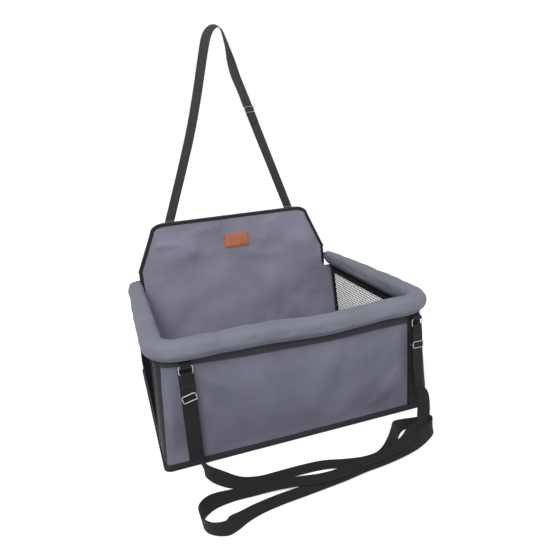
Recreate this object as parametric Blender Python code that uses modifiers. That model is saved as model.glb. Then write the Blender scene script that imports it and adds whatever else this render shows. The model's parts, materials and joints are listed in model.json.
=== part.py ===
"""Pet car booster basket: an open, padded travel basket that stands on a car seat.

A rigid tube frame runs in the padded rim, a stiff board lies in the base, and net windows
fill both sides. A bound back flap rises above the rim and carries the headrest strap, and a
second strap hangs from two rings on the front. Metres, +Z up, +X to the right as seen from
the front, the front faces -Y, and the origin is at the middle of the base's underside.
"""

import math

import bmesh
import bpy
import numpy as np
from mathutils import Vector

# Basket
BASE_WIDTH = 0.450
BASE_DEPTH = 0.370
BASE_CORNER = 0.010
RIM_HEIGHT = 0.187
RIM_INSET = 0.010
RIM_DIAMETER = 0.033
RIM_CORNER = 0.040
WALL_CORNER = 0.032
WALL_PROUD = 0.002
FRONT_BOW = 0.006
WALL_STEPS = 6
CORNER_STEPS = 6
FRONT_STEPS = 8

# Cloth, board and padding
GAP = 0.0003
CLOTH = 0.0012
LINING = 0.0010
TAPE = 0.0012
WALL_FOAM = 0.0040
BOARD = 0.0030
STIFFENER = 0.0020
BINDING_TAPE = 0.0006
NET = 0.0010

# Front and sides
HEM_HEIGHT = 0.011
BAND_HEIGHT = 0.0115
BAND = 0.0008
STRIP_INSET = 0.034
WINDOW_BOTTOM = 0.032
WINDOW_DROP = 0.039
WINDOW_FRONT = 0.140
WINDOW_REAR = 0.012
NET_OVERLAP = 0.006
NET_STRAND = 0.0016
NET_COLUMNS = 11
NET_ROWS = 4

# Tube frame in the rim
TUBE_DIAMETER = 0.010
TUBE_WALL = 0.001
SPIGOT_LENGTH = 0.014
REAR_SLEEVE_DIAMETER = 0.016
REAR_CORNER = 0.014

# Back flap
FOLD_LEAN = 0.010
FOLD_RISE = 0.0235
FOLD_ROLL = 0.0052
FOLD_SEAM = 0.0010
FLAP_HEIGHT = 0.096
FLAP_OVERLAP = 0.002
FLAP_TAPER = 0.037
FLAP_SHOULDER_DROP = 0.0155
FLAP_CORNER = 0.026
FLAP_LIFT = 0.003
BINDING_WIDTH = 0.010
LABEL_WIDTH = 0.053
LABEL_HEIGHT = 0.030
LABEL_THICKNESS = 0.0012
LABEL_X = 0.0045
LABEL_Z = 0.2545

# Webbing, rings and sliders
WEBBING_WIDTH = 0.020
WEBBING = 0.0014
LOOP_WIDTH = 0.016
RING_WIDTH = 0.0240
RING_HEIGHT = 0.0160
RING_WIRE = 0.0018
SLIDER_WIDTH = 0.0268
SLIDER_HEIGHT = 0.0130
SLIDER_WIRE = 0.0018
SLIDER_EAR = 0.0012
REINFORCEMENT_WIDTH = 0.022
TAB_HEIGHT = 0.005
LOOP_TAIL = 0.060
LOOP_END = 0.054

# Each set of front hardware: hand, distance in from the rim's side, turn about the vertical, the
# drops from the rim to the ring's upper bar and to the slider, the slider's tilt, and how far the
# bar stands from the wall
LEFT_HARDWARE = (-1, 0.0385, 0.0, 0.0215, 0.0700, 13.0, 0.0068)
RIGHT_HARDWARE = (1, 0.0215, 8.0, 0.0210, 0.0650, -4.0, 0.0078)

# Headrest strap: sideways, height and roll of the webbing about its own length in degrees
STRAP_INSET = 0.0395
STRAP_AXIS_LIFT = 0.0025
STRAP_END_LENGTH = 0.036
HEADREST_ROUTE = (
    (-0.1100, 0.3520, 0),
    (-0.0862, 0.4150, 0),
    (-0.0625, 0.4810, 0),
    (-0.0415, 0.5500, 0),
    (-0.0228, 0.6180, 4),
    (-0.0135, 0.6475, 20),
    (-0.0030, 0.6630, 45),
    (0.0090, 0.6675, 65),
    (0.0175, 0.6610, 80),
    (0.0228, 0.6450, 92),
    (0.0270, 0.6270, 105),
    (0.0312, 0.6050, 135),
    (0.0373, 0.5785, 168),
    (0.0448, 0.5567, 180),
)
HEADREST_WIDTH = 0.0180
HEADREST_SLIDER_WIDTH = 0.0248
HEADREST_SLIDER_TILT = -6.0
HEADREST_SLIDER = 0.5125
HEADREST_LOW = 0.4200
HEADREST_TAIL = 0.4860
HEADREST_LAP = 0.5360

# Front strap on the floor: place of the webbing's lower edge, its lean in degrees from lying
# flat on the left of its own direction (0) through standing on edge (90) to the right, and how
# far it is lifted off the floor where it lies on itself
FLOOR_ROUTE = (
    (-0.1710, -0.2150, 84, 0.0),
    (-0.1670, -0.2300, 68, 0.0),
    (-0.1580, -0.2450, 45, 0.0),
    (-0.1440, -0.2590, 25, 0.0),
    (-0.1260, -0.2680, 14, 0.0),
    (-0.1000, -0.2730, 8, 0.0),
    (-0.0700, -0.2720, 4, 0.0),
    (-0.0380, -0.2720, 3, 0.0),
    (-0.0080, -0.2750, 3, 0.0),
    (0.0200, -0.2840, 2, 0.0),
    (0.0500, -0.2910, 2, 0.0),
    (0.0780, -0.2900, 3, 0.0),
    (0.1000, -0.2810, 14, 0.0),
    (0.1150, -0.2660, 40, 0.0),
    (0.1250, -0.2490, 58, 0.0),
    (0.1390, -0.2370, 38, 0.0),
    (0.1550, -0.2320, 14, 0.0),
    (0.1690, -0.2345, 12, 0.0),
    (0.1790, -0.2410, 40, 0.0),
    (0.1830, -0.2510, 85, 0.0),
    (0.1790, -0.2620, 112, 0.0),
    (0.1650, -0.2730, 135, 0.0),
    (0.1480, -0.2830, 155, 0.0005),
    (0.1280, -0.2920, 170, 0.0015),
    (0.1020, -0.2990, 177, 0.0020),
    (0.0720, -0.3040, 178, 0.0020),
    (0.0400, -0.3070, 178, 0.0020),
    (0.0080, -0.3120, 178, 0.0018),
    (-0.0250, -0.3150, 177, 0.0012),
    (-0.0580, -0.3175, 176, 0.0005),
    (-0.0900, -0.3200, 175, 0.0),
    (-0.1180, -0.3250, 173, 0.0),
    (-0.1400, -0.3330, 165, 0.0),
    (-0.1570, -0.3420, 130, 0.0),
    (-0.1690, -0.3440, 100, 0.0),
    (-0.1820, -0.3380, 88, 0.0),
    (-0.1910, -0.3280, 86, 0.0),
    (-0.1930, -0.3150, 82, 0.0),
    (-0.1870, -0.3010, 66, 0.0),
    (-0.1710, -0.2910, 40, 0.0),
    (-0.1480, -0.2870, 16, 0.0),
    (-0.1200, -0.2890, 6, 0.0010),
    (-0.0880, -0.2920, 4, 0.0022),
    (-0.0560, -0.2990, 3, 0.0036),
    (-0.0240, -0.3060, 3, 0.0036),
    (0.0080, -0.3060, 2, 0.0038),
    (0.0400, -0.2990, 2, 0.0040),
    (0.0700, -0.2965, 2, 0.0042),
    (0.0960, -0.2920, 4, 0.0042),
    (0.1180, -0.2850, 8, 0.0045),
    (0.1370, -0.2750, 14, 0.0050),
    (0.1530, -0.2630, 18, 0.0060),
)

GREY_CLOTH = ((0.155, 0.150, 0.195), 0.80, 0.0)
RIM_CLOTH = ((0.185, 0.185, 0.225), 0.80, 0.0)
BLACK_CLOTH = ((0.022, 0.022, 0.028), 0.85, 0.0)
BAND_CLOTH = ((0.055, 0.052, 0.068), 0.85, 0.0)
NET_THREAD = ((0.015, 0.015, 0.018), 0.70, 0.0)
BLACK_WEBBING = ((0.028, 0.028, 0.032), 0.75, 0.0)
GREY_WEBBING = ((0.052, 0.052, 0.058), 0.75, 0.0)
LEATHER = ((0.390, 0.138, 0.074), 0.60, 0.0)
STEEL_WIRE = ((0.620, 0.620, 0.640), 0.25, 1.0)
ALUMINIUM = ((0.550, 0.550, 0.570), 0.35, 1.0)
ELBOW_PLASTIC = ((0.030, 0.030, 0.032), 0.50, 0.0)
FOAM = ((0.420, 0.420, 0.430), 0.95, 0.0)
STIFF_BOARD = ((0.120, 0.118, 0.110), 0.70, 0.0)

# Stretches of the wall: where the front panel starts at the left, and the padding's two ends
PANEL_START = 1.5
PADDING_START = 2.1
PADDING_END = 2.9

RIM_RADIUS = RIM_DIAMETER / 2
TUBE_RADIUS = TUBE_DIAMETER / 2
RIM_WIDTH = BASE_WIDTH - 2 * RIM_INSET
RIM_FRONT = BASE_DEPTH / 2
STRIP_RIGHT = RIM_WIDTH / 2 - STRIP_INSET
WINDOW_TOP = RIM_HEIGHT - WINDOW_DROP
FOLD_Y = BASE_DEPTH / 2 + FOLD_LEAN
FOLD_HEIGHT = RIM_HEIGHT + FOLD_RISE
FLAP_TOP = FOLD_HEIGHT + FLAP_HEIGHT
FLAP_SHOULDER = FLAP_TOP - FLAP_SHOULDER_DROP
BACK_NECK = RIM_WIDTH - 2 * REAR_CORNER
FLAP_BOTTOM_WIDTH = BACK_NECK + 2 * FLAP_OVERLAP
FLAP_SHOULDER_WIDTH = FLAP_BOTTOM_WIDTH - 2 * FLAP_TAPER
STRAP_SPACING = FLAP_SHOULDER_WIDTH - 2 * STRAP_INSET
WALL_BOTTOM = CLOTH + GAP
WALL_TOP = RIM_HEIGHT - RIM_RADIUS - GAP
BAND_BOTTOM = WALL_TOP - BAND_HEIGHT
BACK_STACK = 2 * CLOTH + STIFFENER + 2 * GAP
LAYER = (WEBBING + GAP) / 2
LOOP_RADIUS = RING_WIRE / 2 + GAP + WEBBING / 2
STRAP_Y = FOLD_Y + BACK_STACK / 2 + 2 * GAP + BINDING_TAPE + WEBBING / 2
STRAP_AXIS_Z = FLAP_TOP + STRAP_AXIS_LIFT
LEFT_SLOPE = (HEADREST_ROUTE[0][0] + STRAP_SPACING / 2) / (HEADREST_ROUTE[0][1] - STRAP_AXIS_Z)
RIGHT_SLOPE = (STRAP_SPACING / 2 - HEADREST_ROUTE[-1][0]) / (HEADREST_ROUTE[-1][1] - STRAP_AXIS_Z)
FLAP_DROP = math.hypot(BACK_STACK / 2 + GAP + BINDING_TAPE, FLAP_LIFT) + GAP


def clear_scene():
    for thing in list(bpy.data.objects):
        bpy.data.objects.remove(thing, do_unlink=True)


def new_collection(name):
    collection = bpy.data.collections.new(name)
    bpy.context.scene.collection.children.link(collection)
    return collection


clear_scene()
PARTS = new_collection("pet_car_basket")
CUTTERS = new_collection("cutters")


def mix(a, b, share):
    return a + (b - a) * share


def add(name, data, finish):
    """One sub-part, with a material of its own."""
    colour, roughness, metallic = finish
    material = bpy.data.materials.new(name)
    material.use_nodes = True
    shader = material.node_tree.nodes["Principled BSDF"]
    shader.inputs["Base Color"].default_value = (*colour, 1.0)
    shader.inputs["Roughness"].default_value = roughness
    shader.inputs["Metallic"].default_value = metallic
    data.materials.clear()
    data.materials.append(material)
    part = bpy.data.objects.new(name, data)
    PARTS.objects.link(part)
    return part


def thicken(part, thickness, offset):
    solid = part.modifiers.new("thickness", "SOLIDIFY")
    solid.thickness = thickness
    solid.offset = offset
    solid.use_even_offset = True


def sheet(name, finish, columns, rows, place, thickness, offset=-1.0, closed=False):
    """A sewn panel: a grid laid over place(column, row), thickened to its cloth."""
    grid = bmesh.new()
    across, up = len(columns) - 1, len(rows) - 1
    bmesh.ops.create_grid(grid, x_segments=across, y_segments=up, size=0.5)
    for vertex in grid.verts:
        column = columns[round((vertex.co.x + 0.5) * across)]
        row = rows[round((vertex.co.y + 0.5) * up)]
        vertex.co = place(column, row)
    if closed:
        bmesh.ops.remove_doubles(grid, verts=grid.verts, dist=1e-6)
    mesh = bpy.data.meshes.new(name)
    grid.to_mesh(mesh)
    grid.free()
    part = add(name, mesh, finish)
    thicken(part, thickness, offset)
    return part


def flat(name, finish, outline, thickness, location, tilt):
    """A flat piece cut to an outline, facing forward and leaning back by tilt."""
    curve = bpy.data.curves.new(name, "CURVE")
    curve.dimensions = "2D"
    curve.fill_mode = "BOTH"
    curve.extrude = thickness / 2
    spline = curve.splines.new("POLY")
    spline.points.add(len(outline) - 1)
    for point, (x, y) in zip(spline.points, outline):
        point.co = (x, y, 0.0, 1.0)
    spline.use_cyclic_u = True
    part = add(name, curve, finish)
    part.location = location
    part.rotation_euler = (tilt, 0.0, 0.0)
    return part


def wire(name, finish, points, radius, closed=False, wall=None, radii=None, resolution=2):
    """A bar, or with a wall an open tube, along points."""
    curve = bpy.data.curves.new(name, "CURVE")
    curve.dimensions = "3D"
    curve.bevel_depth = radius
    curve.bevel_resolution = resolution
    curve.twist_mode = "Z_UP" if wall or radii else "MINIMUM"
    curve.use_fill_caps = wall is None and not closed
    spline = curve.splines.new("POLY")
    spline.points.add(len(points) - 1)
    for i, (point, place) in enumerate(zip(spline.points, points)):
        point.co = (*place, 1.0)
        point.radius = radii[i] / radius if radii else 1.0
    spline.use_cyclic_u = closed
    spline.use_smooth = True
    part = add(name, curve, finish)
    if wall:
        thicken(part, wall, -1.0)
    return part


def to_mesh(part):
    """Turn a curve part into a mesh part with its modifiers applied and its caps joined."""
    bpy.context.view_layer.update()
    evaluated = part.evaluated_get(bpy.context.evaluated_depsgraph_get())
    mesh = bpy.data.meshes.new_from_object(evaluated)
    body = bmesh.new()
    body.from_mesh(mesh)
    bmesh.ops.remove_doubles(body, verts=body.verts, dist=1e-6)
    body.to_mesh(mesh)
    body.free()
    name, place = part.name, part.matrix_world.copy()
    material = part.data.materials[0]
    mesh.materials.clear()
    mesh.materials.append(material)
    bpy.data.objects.remove(part, do_unlink=True)
    made = bpy.data.objects.new(name, mesh)
    PARTS.objects.link(made)
    made.matrix_world = place
    return made


def combine(part, tool, operation):
    """Boolean a tool object into a part, and keep the tool as a hidden cutter."""
    change = part.modifiers.new(operation.lower(), "BOOLEAN")
    change.operation = operation
    change.solver = "EXACT"
    change.object = tool
    for collection in list(tool.users_collection):
        collection.objects.unlink(tool)
    CUTTERS.objects.link(tool)
    tool.hide_render = True
    tool.display_type = "WIRE"


def axis_empty(name, place):
    empty = bpy.data.objects.new(name, None)
    empty.location = place
    PARTS.objects.link(empty)
    return empty


def hang(empty, parts):
    """Parent parts to the empty on their joint's axis, without moving them."""
    bpy.context.view_layer.update()
    for part in parts:
        part.parent = empty
        part.matrix_parent_inverse = empty.matrix_world.inverted()


def smooth(keys, steps):
    """Points of a smooth curve through rows of numbers, with steps to each stretch."""
    keys = np.array(keys, float)
    padded = np.vstack([2 * keys[0] - keys[1], keys, 2 * keys[-1] - keys[-2]])
    found = []
    for i in range(1, len(padded) - 2):
        a, b, c, d = padded[i - 1 : i + 3]
        for t in np.arange(steps) / steps:
            bend = (2 * a - 5 * b + 4 * c - d) * t**2 + (3 * b - a - 3 * c + d) * t**3
            found.append(0.5 * (2 * b + (c - a) * t + bend))
    return np.array(found + [keys[-1]])


def mitre(slope):
    """Width of webbing along a level cut, where it leans by slope from the vertical."""
    return HEADREST_WIDTH * math.hypot(1.0, slope)


def right_run(z):
    """Sideways place of the headrest strap's straight right run at height z."""
    return STRAP_SPACING / 2 - RIGHT_SLOPE * (z - STRAP_AXIS_Z)


def webbing(name, finish, stations, offset=0.0):
    """Flat webbing along stations of a centre, a sideways direction and a width."""
    columns = list(range(len(stations)))

    def place(column, row):
        centre, side, width = stations[column]
        return Vector(centre) + Vector(side).normalized() * width * row

    return sheet(name, finish, columns, [-0.5, 0.5], place, WEBBING, offset)


# Basket walls


def back_middle(z):
    """Depth of the back wall's middle layer, which leans back up to the fold."""
    foot = BASE_DEPTH / 2 - TAPE - GAP - BACK_STACK / 2
    return mix(foot, FOLD_Y, z / FOLD_HEIGHT)


BACK_LEAN = math.atan((FOLD_Y - back_middle(0.0)) / FOLD_HEIGHT)
BACK_HALF_DEPTH = BACK_STACK / 2 / math.cos(BACK_LEAN)


def wall_size(z, out):
    """Half width, front and corner radius of the wall's outer face at height z."""
    share = z / RIM_HEIGHT
    half = mix(BASE_WIDTH / 2 - TAPE - GAP, RIM_WIDTH / 2 + WALL_PROUD, share) + out
    front = -mix(BASE_DEPTH / 2 - TAPE - GAP, RIM_FRONT + WALL_PROUD, share) - out
    return half, front, mix(BASE_CORNER, WALL_CORNER, share) + out


def bow(x, z, half):
    """How far the front bulges forward."""
    across = math.cos(math.pi / 2 * min(abs(x) / half, 1.0))
    return FRONT_BOW * math.sin(math.pi * min(z / WALL_TOP, 1.0)) * across**2


def front_point(x, z, out=0.0):
    """Point on the front wall, or round its corner, at a sideways place x."""
    half, front, corner = wall_size(z, out)
    past = max(0.0, abs(x) - (half - corner))
    y = front + corner - math.sqrt(corner**2 - past**2)
    return Vector((x, y - bow(x, z, half), z))


def wall_point(s, z, out=0.0, rear=None):
    """Point on the wall at height z: s runs 0 to 1 along the left side, to 2 round the left
    corner, to 3 along the front, to 4 round the right corner and to 5 along the right side."""
    half, front, corner = wall_size(z, out)
    rear = back_middle(z) - BACK_HALF_DEPTH - GAP if rear is None else rear
    hand = -1 if s < 2.5 else 1
    s = min(s, 5 - s)
    if s <= 1:
        return Vector((hand * half, mix(rear, front + corner, s), z))
    if s <= 2:
        turn = (s - 1) * math.pi / 2
        x = half - corner + corner * math.cos(turn)
        y = front + corner - corner * math.sin(turn)
    else:
        x = (half - corner) * (2.5 - s) * 2
        y = front
    return Vector((hand * x, y - bow(x, z, half), z))


def rim_underside(x, y):
    """Height of the rim's underside over a place on the floor plan."""
    past_x = abs(x) - (RIM_WIDTH / 2 - RIM_CORNER)
    past_y = -y - (RIM_FRONT - RIM_CORNER)
    if past_x > 0 and past_y > 0:
        off = math.hypot(past_x, past_y) - RIM_CORNER
    else:
        off = max(past_x, past_y) - RIM_CORNER
    off = max(off - CLOTH, min(off, 0.0))
    return RIM_HEIGHT - math.sqrt(max(RIM_RADIUS**2 - off**2, 0.0)) - GAP


def wall_height(place, share, bottom=WALL_BOTTOM):
    """Height at a share of the wall, whose top edge follows the rim's underside."""
    top = place(WALL_TOP)
    return mix(bottom, max(rim_underside(top.x, top.y), WALL_TOP), share)


def on_wall(out):
    """Placer of wall cloth: a column is a stretch s, or None at the right corner strip."""

    def place(s, share, bottom=WALL_BOTTOM):
        def at(z):
            if s is None:
                return front_point(STRIP_RIGHT, z, out)
            return wall_point(s, z, out)

        return at(wall_height(at, share, bottom))

    return place


def rim_turn():
    """Stretch at which the rim above the side wall starts to turn its front corner."""
    rear = wall_point(0, WALL_TOP).y
    front = wall_point(1, WALL_TOP).y
    return (rear - RIM_CORNER + RIM_FRONT) / (rear - front)


def knots(start, end):
    """Stretches from start to end, with the corners and the front in even steps."""
    corner = [1 + i / CORNER_STEPS for i in range(CORNER_STEPS + 1)]
    front = [2 + i / FRONT_STEPS for i in range(1, FRONT_STEPS)]
    turn = [rim_turn(), *corner]
    marks = [0, *turn, *front, *[5 - s for s in reversed(turn)], 5]
    return [s for s in marks if start <= s <= end]


SHARES = [i / WALL_STEPS for i in range(WALL_STEPS + 1)]


def side_point(hand, y, z, out):
    """Point on the flat stretch of a side wall."""
    return Vector((hand * wall_size(z, out)[0], y, z))


def window_reach(z):
    """Rear and front edge of a side window at height z."""
    front = -WINDOW_FRONT
    rear = back_middle(z) - BACK_HALF_DEPTH - WINDOW_REAR
    return rear, front


def cut_window(frame, hand):
    """Cut a side window straight through the frame cloth."""
    cutter = bmesh.new()
    bmesh.ops.create_cube(cutter, size=1.0)
    for vertex in cutter.verts:
        z = WINDOW_TOP if vertex.co.z > 0 else WINDOW_BOTTOM
        rear, front = window_reach(z)
        y = rear if vertex.co.y > 0 else front
        out = RIM_RADIUS if vertex.co.x * hand > 0 else -RIM_RADIUS
        vertex.co = side_point(hand, y, z, out)
    mesh = bpy.data.meshes.new(frame.name + "_cutter")
    cutter.to_mesh(mesh)
    cutter.free()
    tool = bpy.data.objects.new(mesh.name, mesh)
    PARTS.objects.link(tool)
    combine(frame, tool, "DIFFERENCE")


def side_net(name, hand):
    """Diamond net behind a side window, sewn over the window's edge."""
    net = bmesh.new()
    bmesh.ops.create_grid(net, x_segments=NET_COLUMNS, y_segments=NET_ROWS, size=0.5)
    seams = [edge for edge in net.edges if not edge.is_boundary]
    bmesh.ops.poke(net, faces=net.faces)
    bmesh.ops.dissolve_edges(net, edges=seams)
    for vertex in net.verts:
        z = mix(WINDOW_BOTTOM - NET_OVERLAP, WINDOW_TOP + NET_OVERLAP, vertex.co.y + 0.5)
        rear, front = window_reach(z)
        y = mix(rear + NET_OVERLAP, front - NET_OVERLAP, 0.5 - hand * vertex.co.x)
        vertex.co = side_point(hand, y, z, -CLOTH - GAP)
    net.normal_update()
    bmesh.ops.inset_individual(net, faces=net.faces, thickness=NET_STRAND / 2, use_even_offset=True)
    holes = [face for face in net.faces if face.select]
    bmesh.ops.delete(net, geom=holes, context="FACES")
    mesh = bpy.data.meshes.new(name)
    net.to_mesh(mesh)
    net.free()
    part = add(name, mesh, NET_THREAD)
    thicken(part, NET, -1.0)
    return part


def make_walls():
    front = [*knots(PANEL_START, PADDING_END), None]
    sheet("front_panel", GREY_CLOTH, front, SHARES, on_wall(0.0), CLOTH)
    inner = knots(PADDING_START, PADDING_END)
    foam_out = -CLOTH - GAP
    sheet("front_foam", FOAM, inner, SHARES, on_wall(foam_out), WALL_FOAM)
    sheet("front_lining", GREY_CLOTH, inner, SHARES, on_wall(foam_out - WALL_FOAM - GAP), LINING)

    def beside(first, limit):
        """Frame cloth that starts a gap past the front panel's edge."""
        wall = on_wall(0.0)

        def place(s, share):
            if s is not first:
                return wall(s, share)
            edge = wall(first if first is None else PANEL_START, share)
            near = wall(limit, share)
            return edge + (near - edge).normalized() * 2 * GAP

        return place

    left = [s for s in knots(0, PANEL_START) if s < PANEL_START] + ["edge"]
    last = left[-2]
    panel = sheet("left_side_frame", BLACK_CLOTH, left, SHARES, beside("edge", last), CLOTH)
    cut_window(panel, -1)
    right = [None, *[s for s in knots(3, 5) if wall_point(s, WALL_TOP).x > STRIP_RIGHT + TAPE]]
    panel = sheet("right_side_frame", BLACK_CLOTH, right, SHARES, beside(None, right[1]), CLOTH)
    cut_window(panel, 1)
    side_net("left_net", -1)
    side_net("right_net", 1)

    seam = BAND_BOTTOM
    wall = on_wall(GAP + BAND)
    sheet("rim_seam_band", BAND_CLOTH, front, [0, 1], lambda s, t: wall(s, t, seam), BAND)


def make_reinforcement(name, x):
    """Webbing sewn down the front under a ring."""
    half = REINFORCEMENT_WIDTH / 2
    columns = [x - half + REINFORCEMENT_WIDTH * i / 4 for i in range(5)]
    bottom, top = HEM_HEIGHT + GAP, BAND_BOTTOM - GAP
    rows = [mix(bottom, top, share) for share in SHARES]
    outer = 3 * GAP + WEBBING

    def place(column, row):
        return front_point(column, row, outer)

    sheet(name, BLACK_WEBBING, columns, rows, place, WEBBING)


def base_outline(inset, rear):
    """Rounded outline of a layer of the base, as seen from above."""
    half, front, corner = wall_size(0.0, -inset)
    points = [(-half, rear), (half, rear)]
    for hand in (1, -1):
        for i in range(CORNER_STEPS + 1):
            share = i if hand > 0 else CORNER_STEPS - i
            turn = share / CORNER_STEPS * math.pi / 2
            x = half - corner + corner * math.cos(turn)
            y = front + corner - corner * math.sin(turn)
            points.append((hand * x, y))
    return points


def make_base():
    rear = BASE_DEPTH / 2 - TAPE - GAP
    flat("base_panel", BLACK_CLOTH, base_outline(0.0, rear), CLOTH, (0, 0, CLOTH / 2), 0.0)
    inset = CLOTH + WALL_FOAM + LINING + 3 * GAP
    inner = base_outline(inset, back_middle(0.0) - BACK_HALF_DEPTH - GAP)
    middle = WALL_BOTTOM + BOARD / 2
    flat("base_board", STIFF_BOARD, inner, BOARD, (0, 0, middle), 0.0)
    middle = WALL_BOTTOM + BOARD + GAP + LINING / 2
    flat("base_lining", GREY_CLOTH, inner, LINING, (0, 0, middle), 0.0)

    columns = [0, *knots(1, 4), 5, 0]

    def place(s, z):
        rear_face = back_middle(z) + BACK_HALF_DEPTH + GAP + TAPE
        return wall_point(s, z, GAP + TAPE, rear_face)

    sheet("bottom_binding", BLACK_CLOTH, columns, [GAP, HEM_HEIGHT], place, TAPE, -1.0, True)


def make_back():
    """Back wall below the fold, with the fold's rolled seam on top."""
    tilt = math.pi / 2 - BACK_LEAN
    up = 1 / math.cos(BACK_LEAN)
    top = -FLAP_DROP
    foot = (WALL_BOTTOM - FOLD_HEIGHT) * up
    shoulder = (WALL_TOP - BAND_HEIGHT / 4 - FOLD_HEIGHT) * up
    low_half = wall_size(WALL_BOTTOM, 0.0)[0]
    high_half = wall_size(WALL_TOP, 0.0)[0]
    half = BACK_NECK / 2
    right = [(low_half, foot), (high_half, shoulder), (half, shoulder), (half, top)]
    outline = right + [(-x, z) for x, z in reversed(right)]
    layers = (
        ("back_panel", GREY_CLOTH, CLOTH, (BACK_STACK - CLOTH) / 2),
        ("back_stiffener", STIFF_BOARD, STIFFENER, 0.0),
        ("back_cover", BLACK_CLOTH, CLOTH, -(BACK_STACK - CLOTH) / 2),
    )
    for name, finish, thickness, forward in layers:
        y = FOLD_Y - forward * math.cos(BACK_LEAN)
        z = FOLD_HEIGHT + forward * math.sin(BACK_LEAN)
        flat(name, finish, outline, thickness, (0, y, z), tilt)

    ends = [(-half, FOLD_Y, FOLD_HEIGHT), (half, FOLD_Y, FOLD_HEIGHT)]
    roll = to_mesh(wire("fold_seam", BLACK_CLOTH, ends, FOLD_ROLL / 2))
    tongue = bmesh.new()
    bmesh.ops.create_cube(tongue, size=1.0)
    for vertex in tongue.verts:
        low = vertex.co.z < 0
        vertex.co.x *= 2 * half
        vertex.co.y = FOLD_Y + vertex.co.y * FOLD_SEAM
        vertex.co.z = FOLD_HEIGHT - (FLAP_DROP - GAP if low else FOLD_SEAM)
    mesh = bpy.data.meshes.new("fold_seam_tongue")
    tongue.to_mesh(mesh)
    tongue.free()
    tool = bpy.data.objects.new(mesh.name, mesh)
    PARTS.objects.link(tool)
    combine(roll, tool, "UNION")


# Rim and its tube frame


def arc(centre, radius, start, end, steps):
    """Points of a level arc, angles in degrees from +X."""
    found = []
    for i in range(steps + 1):
        turn = math.radians(mix(start, end, i / steps))
        x = centre[0] + radius * math.cos(turn)
        found.append((x, centre[1] + radius * math.sin(turn), RIM_HEIGHT))
    return found


SLEEVE_END = back_middle(RIM_HEIGHT - RIM_RADIUS) - BACK_HALF_DEPTH - GAP
REAR_Y = back_middle(RIM_HEIGHT) + BACK_HALF_DEPTH + 4 * GAP + REAR_SLEEVE_DIAMETER / 2


def rim_path():
    """Rim centreline from its left rear end round the front to its right rear end."""
    half = RIM_WIDTH / 2
    straight = half - RIM_CORNER
    y = RIM_CORNER - RIM_FRONT
    steps = CORNER_STEPS + 2
    left = arc((-straight, y), RIM_CORNER, 180, 270, steps)
    right = arc((straight, y), RIM_CORNER, 270, 360, steps)
    return [(-half, SLEEVE_END, RIM_HEIGHT), *left, *right, (half, SLEEVE_END, RIM_HEIGHT)]


def elbow(name, path, lead):
    """Corner connector whose thinner ends plug into the frame tubes."""
    first, last = Vector(path[0]), Vector(path[-1])
    spigot = TUBE_RADIUS - TUBE_WALL - GAP
    into, out = Vector(lead[0]), Vector(lead[1])
    points = [first + into * SPIGOT_LENGTH, first + into * GAP, first, *map(Vector, path[1:-1])]
    points += [last, last + out * GAP, last + out * SPIGOT_LENGTH]
    body = len(points) - 4
    radii = [spigot, spigot, *[TUBE_RADIUS] * body, spigot, spigot]
    wire(name, ELBOW_PLASTIC, points, TUBE_RADIUS, radii=radii)


def make_rim():
    path = rim_path()
    foam_radius = RIM_RADIUS - CLOTH - GAP
    foam_wall = foam_radius - TUBE_RADIUS - 2 * GAP
    wire("rim_sleeve", RIM_CLOTH, path, RIM_RADIUS, wall=CLOTH, resolution=4)
    wire("rim_foam", FOAM, path, foam_radius, wall=foam_wall, resolution=4)

    half = RIM_WIDTH / 2
    straight = half - RIM_CORNER
    front = RIM_CORNER - RIM_FRONT
    rear = REAR_Y - REAR_CORNER
    rear_x = half - REAR_CORNER
    z = RIM_HEIGHT
    for name, x in (("left_frame_tube", -half), ("right_frame_tube", half)):
        ends = [(x, front + 2 * GAP, z), (x, rear - 2 * GAP, z)]
        wire(name, ALUMINIUM, ends, TUBE_RADIUS, wall=TUBE_WALL)
    ends = [(-straight + 2 * GAP, -RIM_FRONT, z), (straight - 2 * GAP, -RIM_FRONT, z)]
    wire("front_frame_tube", ALUMINIUM, ends, TUBE_RADIUS, wall=TUBE_WALL)
    ends = [(-rear_x + 2 * GAP, REAR_Y, z), (rear_x - 2 * GAP, REAR_Y, z)]
    wire("rear_frame_tube", ALUMINIUM, ends, TUBE_RADIUS, wall=TUBE_WALL)

    steps = CORNER_STEPS + 2
    bend = arc((-straight, front), RIM_CORNER, 180, 270, steps)
    elbow("front_left_elbow", bend, ((0, 1, 0), (1, 0, 0)))
    bend = arc((straight, front), RIM_CORNER, 270, 360, steps)
    elbow("front_right_elbow", bend, ((-1, 0, 0), (0, 1, 0)))
    left = arc((-rear_x, rear), REAR_CORNER, 180, 90, CORNER_STEPS)
    elbow("rear_left_elbow", left, ((0, -1, 0), (1, 0, 0)))
    right = arc((rear_x, rear), REAR_CORNER, 90, 0, CORNER_STEPS)
    elbow("rear_right_elbow", right, ((-1, 0, 0), (0, -1, 0)))

    end = SLEEVE_END + 2 * GAP
    casing = [(-half, end, z), *left, *right, (half, end, z)]
    sleeve_wall = REAR_SLEEVE_DIAMETER / 2 - TUBE_RADIUS - 2 * GAP
    radius = REAR_SLEEVE_DIAMETER / 2
    wire("rear_sleeve", BLACK_CLOTH, casing, radius, wall=sleeve_wall)


# Back flap


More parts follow.
